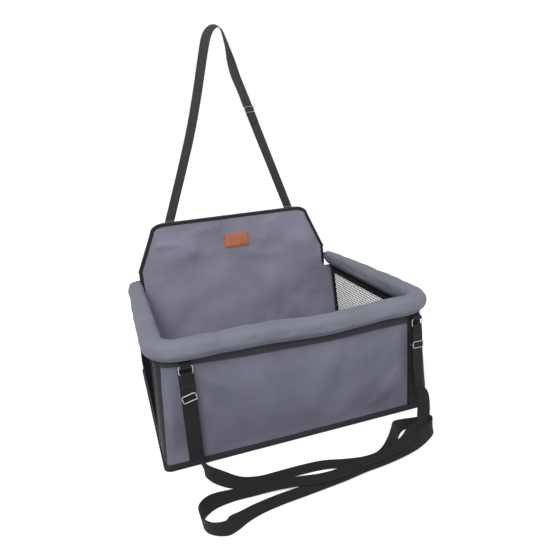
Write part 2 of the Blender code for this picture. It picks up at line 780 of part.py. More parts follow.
def flap_outline(inset, skirt=0.0):
    """Flap outline from above the fold, narrower by inset along its sides and top."""
    low = FLAP_BOTTOM_WIDTH / 2 - inset
    shoulder_x = FLAP_SHOULDER_WIDTH / 2 - inset
    top = FLAP_TOP - FOLD_HEIGHT - inset
    shoulder_z = FLAP_SHOULDER - FOLD_HEIGHT - inset / 2
    corner_x = shoulder_x - FLAP_CORNER
    foot = [(low, FLAP_LIFT - skirt)] if skirt else []
    right = foot + [(low, FLAP_LIFT), (shoulder_x, shoulder_z)]
    for i in range(1, CORNER_STEPS + 1):
        turn = i / CORNER_STEPS * math.pi / 2
        x = corner_x + FLAP_CORNER * math.cos(turn)
        z = shoulder_z + (top - shoulder_z) * math.sin(turn)
        right.append((x, z))
    return right + [(-x, z) for x, z in reversed(right)]


def make_flap():
    upright = math.pi / 2
    fold = (0, FOLD_Y, FOLD_HEIGHT)
    inset = GAP + BINDING_TAPE
    made = []
    layers = (
        ("flap_panel", GREY_CLOTH, CLOTH, (BACK_STACK - CLOTH) / 2),
        ("flap_stiffener", STIFF_BOARD, STIFFENER, 0.0),
        ("flap_cover", BLACK_CLOTH, CLOTH, -(BACK_STACK - CLOTH) / 2),
    )
    for name, finish, thickness, forward in layers:
        place = (0, FOLD_Y - forward, FOLD_HEIGHT)
        made.append(flat(name, finish, flap_outline(inset), thickness, place, upright))

    band = flap_outline(0.0) + list(reversed(flap_outline(BINDING_WIDTH)))
    thickness = BACK_STACK + 2 * (GAP + BINDING_TAPE)
    binding = to_mesh(flat("flap_binding", BLACK_CLOTH, band, thickness, fold, upright))
    channel = BACK_STACK + 2 * GAP
    slot = flap_outline(BINDING_TAPE, BINDING_WIDTH)
    tool = to_mesh(flat("flap_binding_cutter", BLACK_CLOTH, slot, channel, fold, upright))
    combine(binding, tool, "DIFFERENCE")
    made.append(binding)

    half, tall = LABEL_WIDTH / 2, LABEL_HEIGHT / 2
    label = [(-half, -tall), (half, -tall), (half, tall), (-half, tall)]
    y = FOLD_Y - BACK_STACK / 2 - GAP - LABEL_THICKNESS / 2
    made.append(flat("label_patch", LEATHER, label, LABEL_THICKNESS, (LABEL_X, y, LABEL_Z), upright))

    ends = (("left_strap_end", -1, LEFT_SLOPE), ("right_strap_end", 1, RIGHT_SLOPE))
    for name, hand, slope in ends:
        stations = []
        for down in (STRAP_END_LENGTH, (WEBBING + GAP) / 2):
            x = hand * (STRAP_SPACING / 2 + slope * down)
            stations.append(((x, STRAP_Y, STRAP_AXIS_Z - down), (1, 0, 0), mitre(slope)))
        made.append(webbing(name, GREY_WEBBING, stations))
    hang(axis_empty("flap_fold_axis", fold), made)


# Wire hardware


def ring_mesh_points():
    """Ring outline: nearly straight bars above and below, and sides bowed a little."""
    across = (RING_WIDTH - RING_WIRE) / 2
    up = (RING_HEIGHT - RING_WIRE) / 2
    found = []
    for i in range(28):
        turn = 2 * math.pi * (i + 0.5) / 28
        x = math.copysign(abs(math.cos(turn)) ** 0.2, math.cos(turn))
        z = math.copysign(abs(math.sin(turn)) ** 0.5, math.sin(turn))
        found.append((across * x, 0.0, up * z - up))
    return found


def slider_mesh(width):
    """Wire slider: a rectangular frame in front, and a bar that crosses behind."""
    across = (width - SLIDER_WIRE) / 2 - SLIDER_EAR
    up = (SLIDER_HEIGHT - SLIDER_WIRE) / 2
    corner = SLIDER_WIRE
    depth = LAYER + WEBBING / 2 + GAP + SLIDER_WIRE / 2
    frame = []
    for start, x, z in ((0, 1, 1), (90, -1, 1), (180, -1, -1), (270, 1, -1)):
        for turn in (start, start + 45, start + 90):
            px = x * (across - corner) + corner * math.cos(math.radians(turn))
            pz = z * (up - corner) + corner * math.sin(math.radians(turn))
            frame.append((px, -depth, pz))
    ear = across + SLIDER_EAR
    bar = [(-across, -depth, 0), (-ear, -depth * 0.75, 0)]
    bar += [(x, -y, z) for x, y, z in reversed(bar)]
    bar += [(-x, y, z) for x, y, z in reversed(bar)]
    body = to_mesh(wire("slider_frame", STEEL_WIRE, frame, SLIDER_WIRE / 2, closed=True))
    tool = to_mesh(wire("slider_bar", STEEL_WIRE, bar, SLIDER_WIRE / 2))
    combine(body, tool, "UNION")
    bpy.context.view_layer.update()
    evaluated = body.evaluated_get(bpy.context.evaluated_depsgraph_get())
    mesh = bpy.data.meshes.new_from_object(evaluated)
    bpy.data.objects.remove(body, do_unlink=True)
    bpy.data.objects.remove(tool, do_unlink=True)
    return mesh


def place_wire(name, mesh, place, tilt, turn):
    """Wire hardware at its own place, tilted in its plane and turned about the vertical."""
    part = add(name, mesh, STEEL_WIRE)
    part.location = place
    part.rotation_euler = (0.0, tilt, turn)
    return part


def make_front_hardware(side, hardware, slider):
    """Tab, ring, doubled strap and slider on one side, and the strap down to the floor."""
    hand, inset, turn, bar_drop, slider_drop, tilt, bar_out = hardware
    x = hand * (RIM_WIDTH / 2 - inset)
    bar_z, slider_z = RIM_HEIGHT - bar_drop, RIM_HEIGHT - slider_drop
    yaw = math.radians(turn)
    right = Vector((math.cos(yaw), math.sin(yaw), 0.0))
    outward = Vector((math.sin(yaw), -math.cos(yaw), 0.0))
    face = front_point(x, bar_z)

    def at(out, z, across=0.0):
        place = face + outward * out + right * across
        return Vector((place.x, place.y, z))

    def strip(name, path, widths, finish):
        stations = [(at(out, z), right, width) for (out, z), width in zip(path, widths)]
        return webbing(name, finish, stations)

    seat = GAP + BAND + GAP + WEBBING / 2
    turns = [math.pi * i / 8 for i in range(9)]
    fold = [(bar_out - LOOP_RADIUS * math.cos(a), bar_z - LOOP_RADIUS * math.sin(a)) for a in turns]
    rise = TAB_HEIGHT / 2
    tab = [(seat, bar_z + TAB_HEIGHT), (fold[0][0], bar_z + rise), *fold]
    tab += [(fold[-1][0], bar_z + rise), (seat + 2 * LAYER + GAP, bar_z + TAB_HEIGHT)]
    strip(side + "_ring_tab", tab, [LOOP_WIDTH] * len(tab), BLACK_WEBBING)
    make_reinforcement(side + "_reinforcement", x)

    ring = wire(side + "_ring", STEEL_WIRE, ring_mesh_points(), RING_WIRE / 2, closed=True)
    ring.location = at(bar_out, bar_z)
    ring.rotation_euler = (0.0, 0.0, yaw)

    low = bar_z - (RING_HEIGHT - RING_WIRE)
    over = [(bar_out - LOOP_RADIUS * math.cos(a), low + LOOP_RADIUS * math.sin(a)) for a in turns]
    back, front = bar_out - LAYER, bar_out + LAYER
    meet = low - 0.012
    path = [(back, LOOP_TAIL), (back, meet), *over, (front, meet), (front, LOOP_END)]
    widths = [WEBBING_WIDTH] * 2 + [LOOP_WIDTH] * len(over) + [WEBBING_WIDTH] * 2
    loop = strip(side + "_strap_loop", path, widths, BLACK_WEBBING)

    glide = place_wire(side + "_slider", slider, at(bar_out, slider_z), math.radians(-tilt), yaw)
    hang(axis_empty(side + "_ring_axis", at(bar_out, bar_z)), [ring, loop])
    hang(axis_empty(side + "_slider_axis", at(bar_out, slider_z)), [glide])
    return at, right


def floor_stations():
    """Centre and sideways direction of the webbing along its route on the floor."""
    route = np.array(FLOOR_ROUTE)
    ahead = np.gradient(route[:, :2], axis=0)
    ahead /= np.linalg.norm(ahead, axis=1)[:, None]
    lean = np.radians(route[:, 2])
    side = np.column_stack(
        [-ahead[:, 1] * np.cos(lean), ahead[:, 0] * np.cos(lean), np.sin(lean)]
    )
    foot = route[:, 3] + 2 * GAP + np.abs(np.cos(lean)) * WEBBING / 2
    centre = np.column_stack([route[:, :2], foot])
    return np.hstack([centre + side * WEBBING_WIDTH / 2, side])


def straps_to_floor(left, right):
    """Front strap from below the left slider, along the floor and up to the right one."""
    left_at, left_side = left
    right_at, right_side = right
    low = LOOP_END - GAP
    left_x, right_x = LEFT_HARDWARE[1] - RIM_WIDTH / 2, RIM_WIDTH / 2 - RIGHT_HARDWARE[1]
    left_out, right_out = LEFT_HARDWARE[6] + LAYER, RIGHT_HARDWARE[6] + LAYER

    def keys(places, sides):
        return np.hstack([np.array(places, float), np.array(sides, float)])

    hanging = [left_at(left_out, low), left_at(left_out, 0.040), left_at(left_out + 0.0006, 0.028)]
    hanging += [(left_x + 0.0015, hanging[0].y - 0.0050, 0.0185)]
    sides = [-left_side, -left_side, (-0.98, 0.05, 0.12), (-0.84, 0.20, 0.48)]
    left_keys = keys(hanging, sides)
    floor = floor_stations()
    rising = [
        (0.1690, -0.2480, 0.0130),
        (right_x - 0.0135, -0.2330, 0.0170),
        (right_x - 0.0020, -0.2170, 0.0245),
        right_at(right_out + 0.006, 0.0370, 0.006),
        right_at(right_out + 0.001, 0.0470, 0.002),
        right_at(right_out, low),
    ]
    sides = [(-0.75, 0.55, 0.36), (-0.82, 0.50, 0.28), (-0.80, 0.52, 0.28)]
    sides += [(-0.90, 0.30, 0.30), -right_side, -right_side]
    right_keys = keys(rising, sides)
    return left_keys, floor, right_keys


def strap_stations(keys, steps):
    return [(row[:3], row[3:6], WEBBING_WIDTH) for row in smooth(keys, steps)]


def make_front_straps(left, right):
    left_keys, floor, right_keys = straps_to_floor(left, right)
    run = strap_stations(np.vstack([left_keys, floor, right_keys]), 2)
    left_count = 2 * (len(left_keys) - 2)
    right_count = 2 * (len(right_keys) - 3)
    lower = run[left_count : len(run) - right_count]
    webbing("left_front_strap", BLACK_WEBBING, run[: left_count + 1])
    webbing("right_front_strap", BLACK_WEBBING, run[len(run) - right_count - 1 :])

    def trimmed(station, other):
        """The station moved a gap's width towards the next one, clear of its neighbour."""
        ahead = Vector(other[0]) - Vector(station[0])
        return (Vector(station[0]) + ahead.normalized() * GAP, station[1], station[2])

    lower[0] = trimmed(lower[0], lower[1])
    lower[-1] = trimmed(lower[-1], lower[-2])
    webbing("floor_strap", BLACK_WEBBING, lower)
    return lower


def least_gap(stations):
    """Least distance between stretches of the floor strap that aren't neighbours."""
    across = np.linspace(-0.5, 0.5, 9)
    rows = [
        np.array(centre) + np.outer(across * width, np.array(Vector(side).normalized()))
        for centre, side, width in stations
    ]
    least = math.inf
    for i, row in enumerate(rows):
        for other in rows[i + 4 :]:
            apart = np.linalg.norm(row[:, None] - other[None], axis=2).min()
            least = min(least, apart)
    return least


# Headrest strap


def headrest_stations():
    """Upper strap from its left end over the top and down through the slider."""
    keys = [(x, STRAP_Y, z, roll) for x, z, roll in HEADREST_ROUTE]
    for height in (HEADREST_LAP, HEADREST_SLIDER, HEADREST_TAIL):
        keys.append((right_run(height), STRAP_Y - LAYER, height, 180))
    run = smooth(keys, 2)
    ahead = np.gradient(run[:, :3], axis=0)
    stations = []
    for row, forward in zip(run, ahead):
        roll = math.radians(row[3])
        level = Vector(forward).cross(Vector((0, 1, 0))).normalized()
        side = level * math.cos(roll) + Vector((0, 1, 0)) * math.sin(roll)
        stations.append((row[:3], side, HEADREST_WIDTH))
    foot = (-STRAP_SPACING / 2, STRAP_Y, STRAP_AXIS_Z)
    return [(foot, (-1, 0, 0), mitre(LEFT_SLOPE)), *stations]


def make_headrest_strap(slider):
    upper = webbing("headrest_strap", GREY_WEBBING, headrest_stations())
    foot = (STRAP_SPACING / 2, STRAP_Y, STRAP_AXIS_Z)
    side = Vector((1.0, 0.0, RIGHT_SLOPE))
    lower = [(foot, (1, 0, 0), mitre(RIGHT_SLOPE))]
    rise = HEADREST_WIDTH / 2
    for height, back in ((foot[2] + rise, 0.0), (HEADREST_LOW, LAYER), (HEADREST_LAP, LAYER)):
        lower.append(((right_run(height), STRAP_Y + back, height), side, HEADREST_WIDTH))
    lower_strap = webbing("headrest_strap_lower", GREY_WEBBING, lower)
    x = right_run(HEADREST_SLIDER)
    tilt = math.radians(HEADREST_SLIDER_TILT)
    glide = place_wire("headrest_slider", slider, (x, STRAP_Y, HEADREST_SLIDER), tilt, 0.0)
    hang(axis_empty("headrest_strap_axis", (0, STRAP_Y, STRAP_AXIS_Z)), [upper, lower_strap])
    hang(axis_empty("headrest_slider_axis", (x, STRAP_Y, HEADREST_SLIDER)), [glide])


def shade():
    """Smooth shading with sharp edges kept on every mesh."""
    for part in PARTS.objects:
        if part.type == "MESH":
            part.data.shade_smooth()
            part.data.set_sharp_from_angle(angle=math.radians(35))


def main():
    make_base()
    make_walls()
    make_back()
    make_rim()
    make_flap()
    slider = slider_mesh(SLIDER_WIDTH)
    left = make_front_hardware("left", LEFT_HARDWARE, slider)
    right = make_front_hardware("right", RIGHT_HARDWARE, slider.copy())
    floor = make_front_straps(left, right)
    make_headrest_strap(slider_mesh(HEADREST_SLIDER_WIDTH))
    shade()
    print("floor strap: least gap between passes, mm:", round(least_gap(floor) * 1000, 2))


main()
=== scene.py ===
"""Looks of the pet car booster basket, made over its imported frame.

Cloth, padding, net, webbing, stitches and wire are cut to the same sizes as the frame's
solids and stand for the soft ones. Metres, +Z up, +X to the right as seen from the front,
and the front faces -Y.
"""

import json
import math

import bmesh
import bpy
import numpy as np
from mathutils import Matrix, Vector, noise
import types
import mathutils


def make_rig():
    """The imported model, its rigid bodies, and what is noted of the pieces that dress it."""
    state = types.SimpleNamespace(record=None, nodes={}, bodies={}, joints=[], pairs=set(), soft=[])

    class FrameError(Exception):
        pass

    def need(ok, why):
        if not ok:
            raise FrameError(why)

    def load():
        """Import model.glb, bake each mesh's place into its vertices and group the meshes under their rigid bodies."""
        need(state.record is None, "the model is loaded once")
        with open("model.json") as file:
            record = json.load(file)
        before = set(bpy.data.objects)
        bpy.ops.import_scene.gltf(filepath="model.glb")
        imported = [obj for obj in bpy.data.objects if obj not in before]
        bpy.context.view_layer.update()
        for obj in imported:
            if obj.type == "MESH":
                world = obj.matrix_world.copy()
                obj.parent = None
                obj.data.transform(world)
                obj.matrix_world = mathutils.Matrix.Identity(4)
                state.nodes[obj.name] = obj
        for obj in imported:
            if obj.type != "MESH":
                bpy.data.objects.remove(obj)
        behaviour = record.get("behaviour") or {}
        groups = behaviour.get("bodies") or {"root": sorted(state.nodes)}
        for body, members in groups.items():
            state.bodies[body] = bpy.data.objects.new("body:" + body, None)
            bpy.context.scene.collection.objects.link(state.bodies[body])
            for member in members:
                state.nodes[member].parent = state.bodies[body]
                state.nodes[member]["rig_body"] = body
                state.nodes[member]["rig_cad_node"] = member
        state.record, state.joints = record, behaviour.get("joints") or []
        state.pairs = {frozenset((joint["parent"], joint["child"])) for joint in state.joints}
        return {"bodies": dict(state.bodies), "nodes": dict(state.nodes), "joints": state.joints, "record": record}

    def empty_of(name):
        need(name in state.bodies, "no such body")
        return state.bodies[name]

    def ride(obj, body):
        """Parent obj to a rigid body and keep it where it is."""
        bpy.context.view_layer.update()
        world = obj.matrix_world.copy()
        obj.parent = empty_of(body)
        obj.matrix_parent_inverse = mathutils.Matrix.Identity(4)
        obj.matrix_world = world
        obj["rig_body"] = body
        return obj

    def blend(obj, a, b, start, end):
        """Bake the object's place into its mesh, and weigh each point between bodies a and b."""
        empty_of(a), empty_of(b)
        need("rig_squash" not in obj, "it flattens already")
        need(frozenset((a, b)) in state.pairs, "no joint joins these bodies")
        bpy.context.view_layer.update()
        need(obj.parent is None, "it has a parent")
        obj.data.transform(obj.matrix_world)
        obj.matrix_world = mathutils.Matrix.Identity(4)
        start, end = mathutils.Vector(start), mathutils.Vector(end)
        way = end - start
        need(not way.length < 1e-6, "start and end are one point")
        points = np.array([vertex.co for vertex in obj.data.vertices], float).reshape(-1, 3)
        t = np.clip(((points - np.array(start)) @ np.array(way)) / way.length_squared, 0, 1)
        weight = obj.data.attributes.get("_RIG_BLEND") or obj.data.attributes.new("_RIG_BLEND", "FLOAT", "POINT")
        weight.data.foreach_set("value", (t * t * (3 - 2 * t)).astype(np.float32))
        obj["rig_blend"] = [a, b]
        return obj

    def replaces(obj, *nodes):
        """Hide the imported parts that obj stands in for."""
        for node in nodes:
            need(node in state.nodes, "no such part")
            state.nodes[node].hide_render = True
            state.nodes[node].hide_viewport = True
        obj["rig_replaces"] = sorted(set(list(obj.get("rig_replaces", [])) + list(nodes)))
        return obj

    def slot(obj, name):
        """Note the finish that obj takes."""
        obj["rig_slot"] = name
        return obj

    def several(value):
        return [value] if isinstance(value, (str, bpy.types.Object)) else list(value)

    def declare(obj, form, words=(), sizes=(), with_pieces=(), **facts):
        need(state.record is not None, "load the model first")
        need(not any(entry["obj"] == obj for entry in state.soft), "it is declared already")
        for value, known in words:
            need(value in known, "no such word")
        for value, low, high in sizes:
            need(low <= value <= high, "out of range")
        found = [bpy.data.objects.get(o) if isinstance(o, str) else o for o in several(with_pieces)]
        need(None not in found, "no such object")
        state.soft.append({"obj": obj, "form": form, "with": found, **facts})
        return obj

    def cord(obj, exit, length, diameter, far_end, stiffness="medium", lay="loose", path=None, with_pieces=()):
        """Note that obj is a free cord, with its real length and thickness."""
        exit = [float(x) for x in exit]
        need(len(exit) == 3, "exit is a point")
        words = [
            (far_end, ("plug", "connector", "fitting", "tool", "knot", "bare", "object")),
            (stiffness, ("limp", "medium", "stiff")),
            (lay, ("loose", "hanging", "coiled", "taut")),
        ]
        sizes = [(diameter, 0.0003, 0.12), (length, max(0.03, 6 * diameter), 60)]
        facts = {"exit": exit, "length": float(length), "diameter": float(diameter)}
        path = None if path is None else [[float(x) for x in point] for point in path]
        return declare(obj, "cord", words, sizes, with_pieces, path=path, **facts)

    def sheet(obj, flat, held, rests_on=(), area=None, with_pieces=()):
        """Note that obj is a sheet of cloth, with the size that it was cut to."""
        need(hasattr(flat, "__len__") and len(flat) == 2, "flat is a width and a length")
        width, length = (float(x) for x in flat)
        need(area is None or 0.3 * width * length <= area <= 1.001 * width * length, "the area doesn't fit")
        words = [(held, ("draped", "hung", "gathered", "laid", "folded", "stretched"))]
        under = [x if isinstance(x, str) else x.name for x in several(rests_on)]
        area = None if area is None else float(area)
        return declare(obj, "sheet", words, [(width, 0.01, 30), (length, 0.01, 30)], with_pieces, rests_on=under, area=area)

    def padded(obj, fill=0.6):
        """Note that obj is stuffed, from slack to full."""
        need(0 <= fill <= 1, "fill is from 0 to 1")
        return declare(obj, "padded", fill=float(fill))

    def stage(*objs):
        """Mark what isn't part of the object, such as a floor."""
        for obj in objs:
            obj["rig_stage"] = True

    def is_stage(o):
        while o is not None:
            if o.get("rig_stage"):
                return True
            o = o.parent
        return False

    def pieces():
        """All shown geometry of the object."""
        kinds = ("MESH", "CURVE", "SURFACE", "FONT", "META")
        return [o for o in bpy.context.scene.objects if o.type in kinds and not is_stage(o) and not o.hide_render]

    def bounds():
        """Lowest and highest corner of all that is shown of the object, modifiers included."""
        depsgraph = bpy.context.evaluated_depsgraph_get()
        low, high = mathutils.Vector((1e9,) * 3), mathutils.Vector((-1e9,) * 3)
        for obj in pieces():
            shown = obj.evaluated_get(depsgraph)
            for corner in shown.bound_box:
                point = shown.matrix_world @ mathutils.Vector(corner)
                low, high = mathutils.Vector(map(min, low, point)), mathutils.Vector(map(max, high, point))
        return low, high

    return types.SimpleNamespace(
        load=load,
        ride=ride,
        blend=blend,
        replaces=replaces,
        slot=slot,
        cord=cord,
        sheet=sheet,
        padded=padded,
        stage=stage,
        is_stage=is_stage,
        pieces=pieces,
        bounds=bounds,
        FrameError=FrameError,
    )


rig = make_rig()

bl_info = {
    "name": "Pet Car Booster Basket",
    "version": (1, 0, 0),
    "blender": (4, 5, 0),
    "location": "3D Viewport > Sidebar > Basket",
    "description": "Makes the cloth, straps, net and hardware of a pet car booster basket",
    "category": "Object",
}

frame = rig.load()
CAD_BOX = [list(corner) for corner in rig.bounds()]

# Sizes of the frame that every piece is cut to
BASE_WIDTH, BASE_DEPTH, BASE_CORNER = 0.450, 0.370, 0.010
RIM_HEIGHT, RIM_INSET, RIM_RADIUS, RIM_CORNER = 0.187, 0.010, 0.0165, 0.040
WALL_CORNER, WALL_PROUD, FRONT_BOW = 0.032, 0.002, 0.006
GAP, CLOTH, LINING, TAPE, BAND = 0.0003, 0.0012, 0.0010, 0.0012, 0.0008
WALL_FOAM, BOARD, STIFFENER, BINDING_TAPE = 0.0040, 0.0030, 0.0020, 0.0006
HEM_HEIGHT, BAND_HEIGHT, STRIP_INSET = 0.011, 0.0115, 0.034
WINDOW_BOTTOM, WINDOW_TOP, WINDOW_FRONT, WINDOW_REAR = 0.032, 0.154, 0.140, 0.010
REAR_SLEEVE_RADIUS, REAR_CORNER = 0.008, 0.014
FOLD_Y, FOLD_HEIGHT, FLAP_TOP, FLAP_SHOULDER = 0.195, 0.2105, 0.3074, 0.290
FLAP_CORNER, FLAP_LIFT, BINDING_WIDTH = 0.030, 0.003, 0.0072
LABEL_WIDTH, LABEL_HEIGHT, LABEL_X, LABEL_Z = 0.053, 0.030, 0.0045, 0.2545
WEBBING_WIDTH, WEBBING, LOOP_WIDTH, REINFORCEMENT_WIDTH = 0.020, 0.0014, 0.016, 0.022
# The padding of the rim is thinner by this much, outside and above, at its rear ends.
RIM_THINNING = 0.0062
# The rim droops by this much in the front, round this place across.
SAG_DEPTH, SAG_MIDDLE, SAG_HALF_WIDTH = 0.0050, 0.045, 0.120
# Radius inside the padded sleeves, where the frame's tubes run
SLEEVE_BORE = 0.0054
# Rim's padding: height of its lumps, dents and creases, how square its upper half is, and the
# lengths of the gathers and pulls round its corners
RIM_LUMP, RIM_DENT, RIM_CREASE, RIM_SQUARENESS = 0.0014, 0.0006, 0.0011, 2.7
GATHER_PITCH, PULL_PITCH = 0.0105, 0.0230
# The rear tube's sleeve holds the back's outer cloth flat between these heights.
HELD_FROM, HELD_TO = 0.170, 0.206
BACK_SHEET = (0.447, 0.306)
# Flat sizes of the wall cloths; a cloth with holes keeps at least this share of its area.
WALL_SHEET_HEIGHT, FRONT_SHEET_WIDTH, NET_WIDTH, LEAST_AREA = 0.168, 0.418, 0.326, 0.31
# The net runs on this far under the tape of its window.
NET_TUCK = 0.006
# The right front strap is drawn together to this width where it folds.
PINCH = 0.0130
# The padded front wall stands out by this much between the band and the hem.
FRONT_PUFF = 0.0052
RING_WIDTH, RING_HEIGHT, RING_WIRE = 0.0215, 0.0142, 0.0015
SLIDER_WIDTH, SLIDER_HEIGHT, SLIDER_WIRE, SLIDER_EAR = 0.0236, 0.0119, 0.0013, 0.0012
TAB_HEIGHT, LOOP_TAIL, LOOP_END = 0.005, 0.060, 0.054
STRAP_INSET, STRAP_AXIS_Z, STRAP_END_LENGTH = 0.0395, 0.309, 0.036

# Camera fitted to the photograph: place, direction of view, roll in degrees and lens
CAMERA_PLACE, CAMERA_AHEAD = (-0.24998, -0.88717, 0.47502), (0.29214, 0.91576, -0.27573)
CAMERA_ROLL, CAMERA_LENS = -4.465, 34.322
LAMP_TARGET = (0.0, 0.0, 0.15)
# Glow of the floor as the camera sees it: under the basket, its rise by the metre and how far
FLOOR_GLOW, FLOOR_GLOW_RISE, FLOOR_GLOW_MORE = 0.54, 0.11, 0.24
# Lengthwise threads of webbing, and the scale of fibres and scratches
WARP_PITCH, FINE_SCALE = 0.0009, 900.0

# Each set of front hardware: hand, distance in from the rim's side, turn about the vertical,
# drops from the rim to the ring's bar and to the slider, slider's tilt, and distance proud
HARDWARE = {
    "left": (-1, 0.0385, 0.0, 0.0215, 0.0700, 13.0, 0.0068),
    "right": (1, 0.0215, 8.0, 0.0210, 0.0650, -4.0, 0.0078),
}

# Headrest strap: sideways, height and roll of the webbing about its own length in degrees
HEADREST_ROUTE = (
    (-0.11, 0.352, 0), (-0.0862, 0.415, 0), (-0.0625, 0.481, 0), (-0.0415, 0.55, 0),
    (-0.0228, 0.618, 4), (-0.0135, 0.6475, 20), (-0.003, 0.663, 45), (0.009, 0.6675, 65),
    (0.0175, 0.661, 80), (0.0228, 0.645, 92), (0.027, 0.627, 105), (0.0312, 0.605, 135),
    (0.0373, 0.5785, 168), (0.0448, 0.5567, 180),
)
HEADREST_WIDTH, HEADREST_SLIDER_WIDTH, HEADREST_SLIDER_TILT = 0.0180, 0.0226, -4.0
HEADREST_SLIDER, HEADREST_LOW, HEADREST_TAIL, HEADREST_LAP = 0.5125, 0.4200, 0.4860, 0.5360

# Front strap on the floor: place of its lower edge, its lean from lying flat in degrees, and how
# far it is lifted where it lies on itself
FLOOR_ROUTE = (
    (-0.171, -0.215, 84, 0), (-0.167, -0.23, 68, 0), (-0.158, -0.245, 45, 0),
    (-0.144, -0.259, 25, 0), (-0.126, -0.268, 14, 0), (-0.1, -0.273, 8, 0),
    (-0.07, -0.272, 4, 0), (-0.038, -0.272, 3, 0), (-0.008, -0.275, 3, 0), (0.02, -0.284, 2, 0),
    (0.05, -0.291, 2, 0), (0.078, -0.29, 3, 0), (0.1, -0.281, 14, 0), (0.115, -0.266, 40, 0),
    (0.125, -0.249, 58, 0), (0.139, -0.237, 38, 0), (0.155, -0.232, 14, 0),
    (0.169, -0.2345, 12, 0), (0.179, -0.241, 40, 0), (0.183, -0.251, 85, 0),
    (0.179, -0.262, 112, 0), (0.165, -0.273, 135, 0), (0.148, -0.283, 155, 0.0005),
    (0.128, -0.292, 170, 0.0015), (0.102, -0.299, 177, 0.002), (0.072, -0.304, 178, 0.002),
    (0.04, -0.307, 178, 0.002), (0.008, -0.312, 178, 0.0018), (-0.025, -0.315, 177, 0.0012),
    (-0.058, -0.3175, 176, 0.0005), (-0.09, -0.32, 175, 0), (-0.118, -0.325, 173, 0),
    (-0.14, -0.333, 165, 0), (-0.157, -0.342, 130, 0), (-0.169, -0.344, 100, 0),
    (-0.182, -0.338, 88, 0), (-0.191, -0.328, 86, 0), (-0.193, -0.315, 82, 0),
    (-0.187, -0.301, 66, 0), (-0.171, -0.291, 40, 0), (-0.148, -0.287, 16, 0),
    (-0.12, -0.289, 6, 0.001), (-0.088, -0.292, 4, 0.0022), (-0.056, -0.299, 3, 0.0036),
    (-0.024, -0.306, 3, 0.0036), (0.008, -0.306, 2, 0.0038), (0.04, -0.299, 2, 0.004),
    (0.07, -0.2965, 2, 0.0042), (0.096, -0.292, 4, 0.0042), (0.118, -0.285, 8, 0.0045),
    (0.137, -0.275, 14, 0.005), (0.153, -0.263, 18, 0.006),
)

# Soft folds, each a place across and up, half length, half width, turn in degrees and height
FRONT_FOLDS = (
    (-0.105, 0.105, 0.06, 0.022, -38, 0.0032), (-0.04, 0.06, 0.07, 0.026, 18, 0.0028),
    (0.03, 0.115, 0.06, 0.028, 62, 0.0036), (0.085, 0.06, 0.055, 0.02, 42, 0.0044),
    (0.128, 0.046, 0.045, 0.016, 38, 0.004), (0.14, 0.11, 0.05, 0.022, 75, 0.0032),
    (0.01, 0.045, 0.05, 0.018, 85, 0.0024), (-0.125, 0.045, 0.03, 0.018, 80, 0.0024),
    (-0.135, 0.128, 0.03, 0.005, -32, 0.0014), (-0.196, 0.074, 0.012, 0.0035, -12, 0.0012),
    (0.06, 0.14, 0.024, 0.005, 70, 0.0012), (0.15, 0.076, 0.028, 0.005, 50, 0.0014),
    (0.172, 0.052, 0.02, 0.005, 62, 0.0014),
)
FLAP_FOLDS = (
    (-0.15, 0.262, 0.04, 0.007, -4, 0.0023), (-0.1, 0.243, 0.05, 0.02, 12, 0.0023),
    (-0.07, 0.282, 0.04, 0.012, 20, 0.0017), (-0.045, 0.235, 0.045, 0.016, 80, 0.0019),
    (0.022, 0.29, 0.012, 0.004, 75, 0.0011), (0.07, 0.262, 0.05, 0.016, 62, 0.0023),
    (0.125, 0.24, 0.045, 0.018, -25, 0.0023), (-0.11, 0.15, 0.05, 0.02, 10, 0.0023),
    (0, 0.12, 0.08, 0.024, 4, 0.0027), (0.11, 0.15, 0.06, 0.022, -14, 0.0023),
    (-0.16, 0.09, 0.04, 0.015, 84, 0.0023), (0.15, 0.08, 0.05, 0.015, 82, 0.0023),
    (-0.06, 0.06, 0.05, 0.02, 30, 0.0023),
)
REAR_FOLDS = (
    (-0.12, 0.11, 0.06, 0.022, 30, 0.0016), (0.01, 0.08, 0.07, 0.024, -14, 0.0018),
    (0.125, 0.12, 0.055, 0.02, 66, 0.0014), (-0.05, 0.255, 0.06, 0.018, 8, 0.0011),
    (0.095, 0.25, 0.045, 0.016, -24, 0.0011),
)


def mix(a, b, share):
    return a + (b - a) * share


def ease(value, low, high):
    """0 up to low, 1 from high, and a smooth step between them."""
    share = np.clip((value - low) / (high - low), 0.0, 1.0)
    return share * share * (3 - 2 * share)


# Settings in the sidebar


def amount(name, description, default, least=0.0, **more):
    """Number in the sidebar."""
    return bpy.props.FloatProperty(
        name=name, description=description, default=default, min=least, **more
    )


def length(*words, **more):
    """Length in the sidebar."""
    return amount(*words, unit="LENGTH", **more)


def tint(name, description, default):
    """Colour in the sidebar."""
    return bpy.props.FloatVectorProperty(
        name=name, description=description, default=default, size=3, min=0.0, max=1.0,
        subtype="COLOR",
    )


class ClothSettings(bpy.types.PropertyGroup):
    """Sizes of the sewn cloth, its stitches and its net."""

    fold_depth: amount("Fold depth", "Share of full folds", 1.0, max=1.5, subtype="FACTOR")
    rim_bunching: length("Rim bunching", "Gathers in the corners", 0.0016, max=0.003)
    stitch_pitch: length("Stitch pitch", "From one stitch to the next", 0.0034, 0.002)
    stitch_length: length("Stitch length", "Thread that shows in each stitch", 0.0025, 0.001)
    thread: length("Thread", "Thickness of the sewing thread", 0.0005, 0.0002)
    net_pitch: length("Net pitch", "Distance between the net's holes", 0.0060, 0.003)
    net_strand: length("Net strand", "Width of the net's strands", 0.0015, 0.0004)


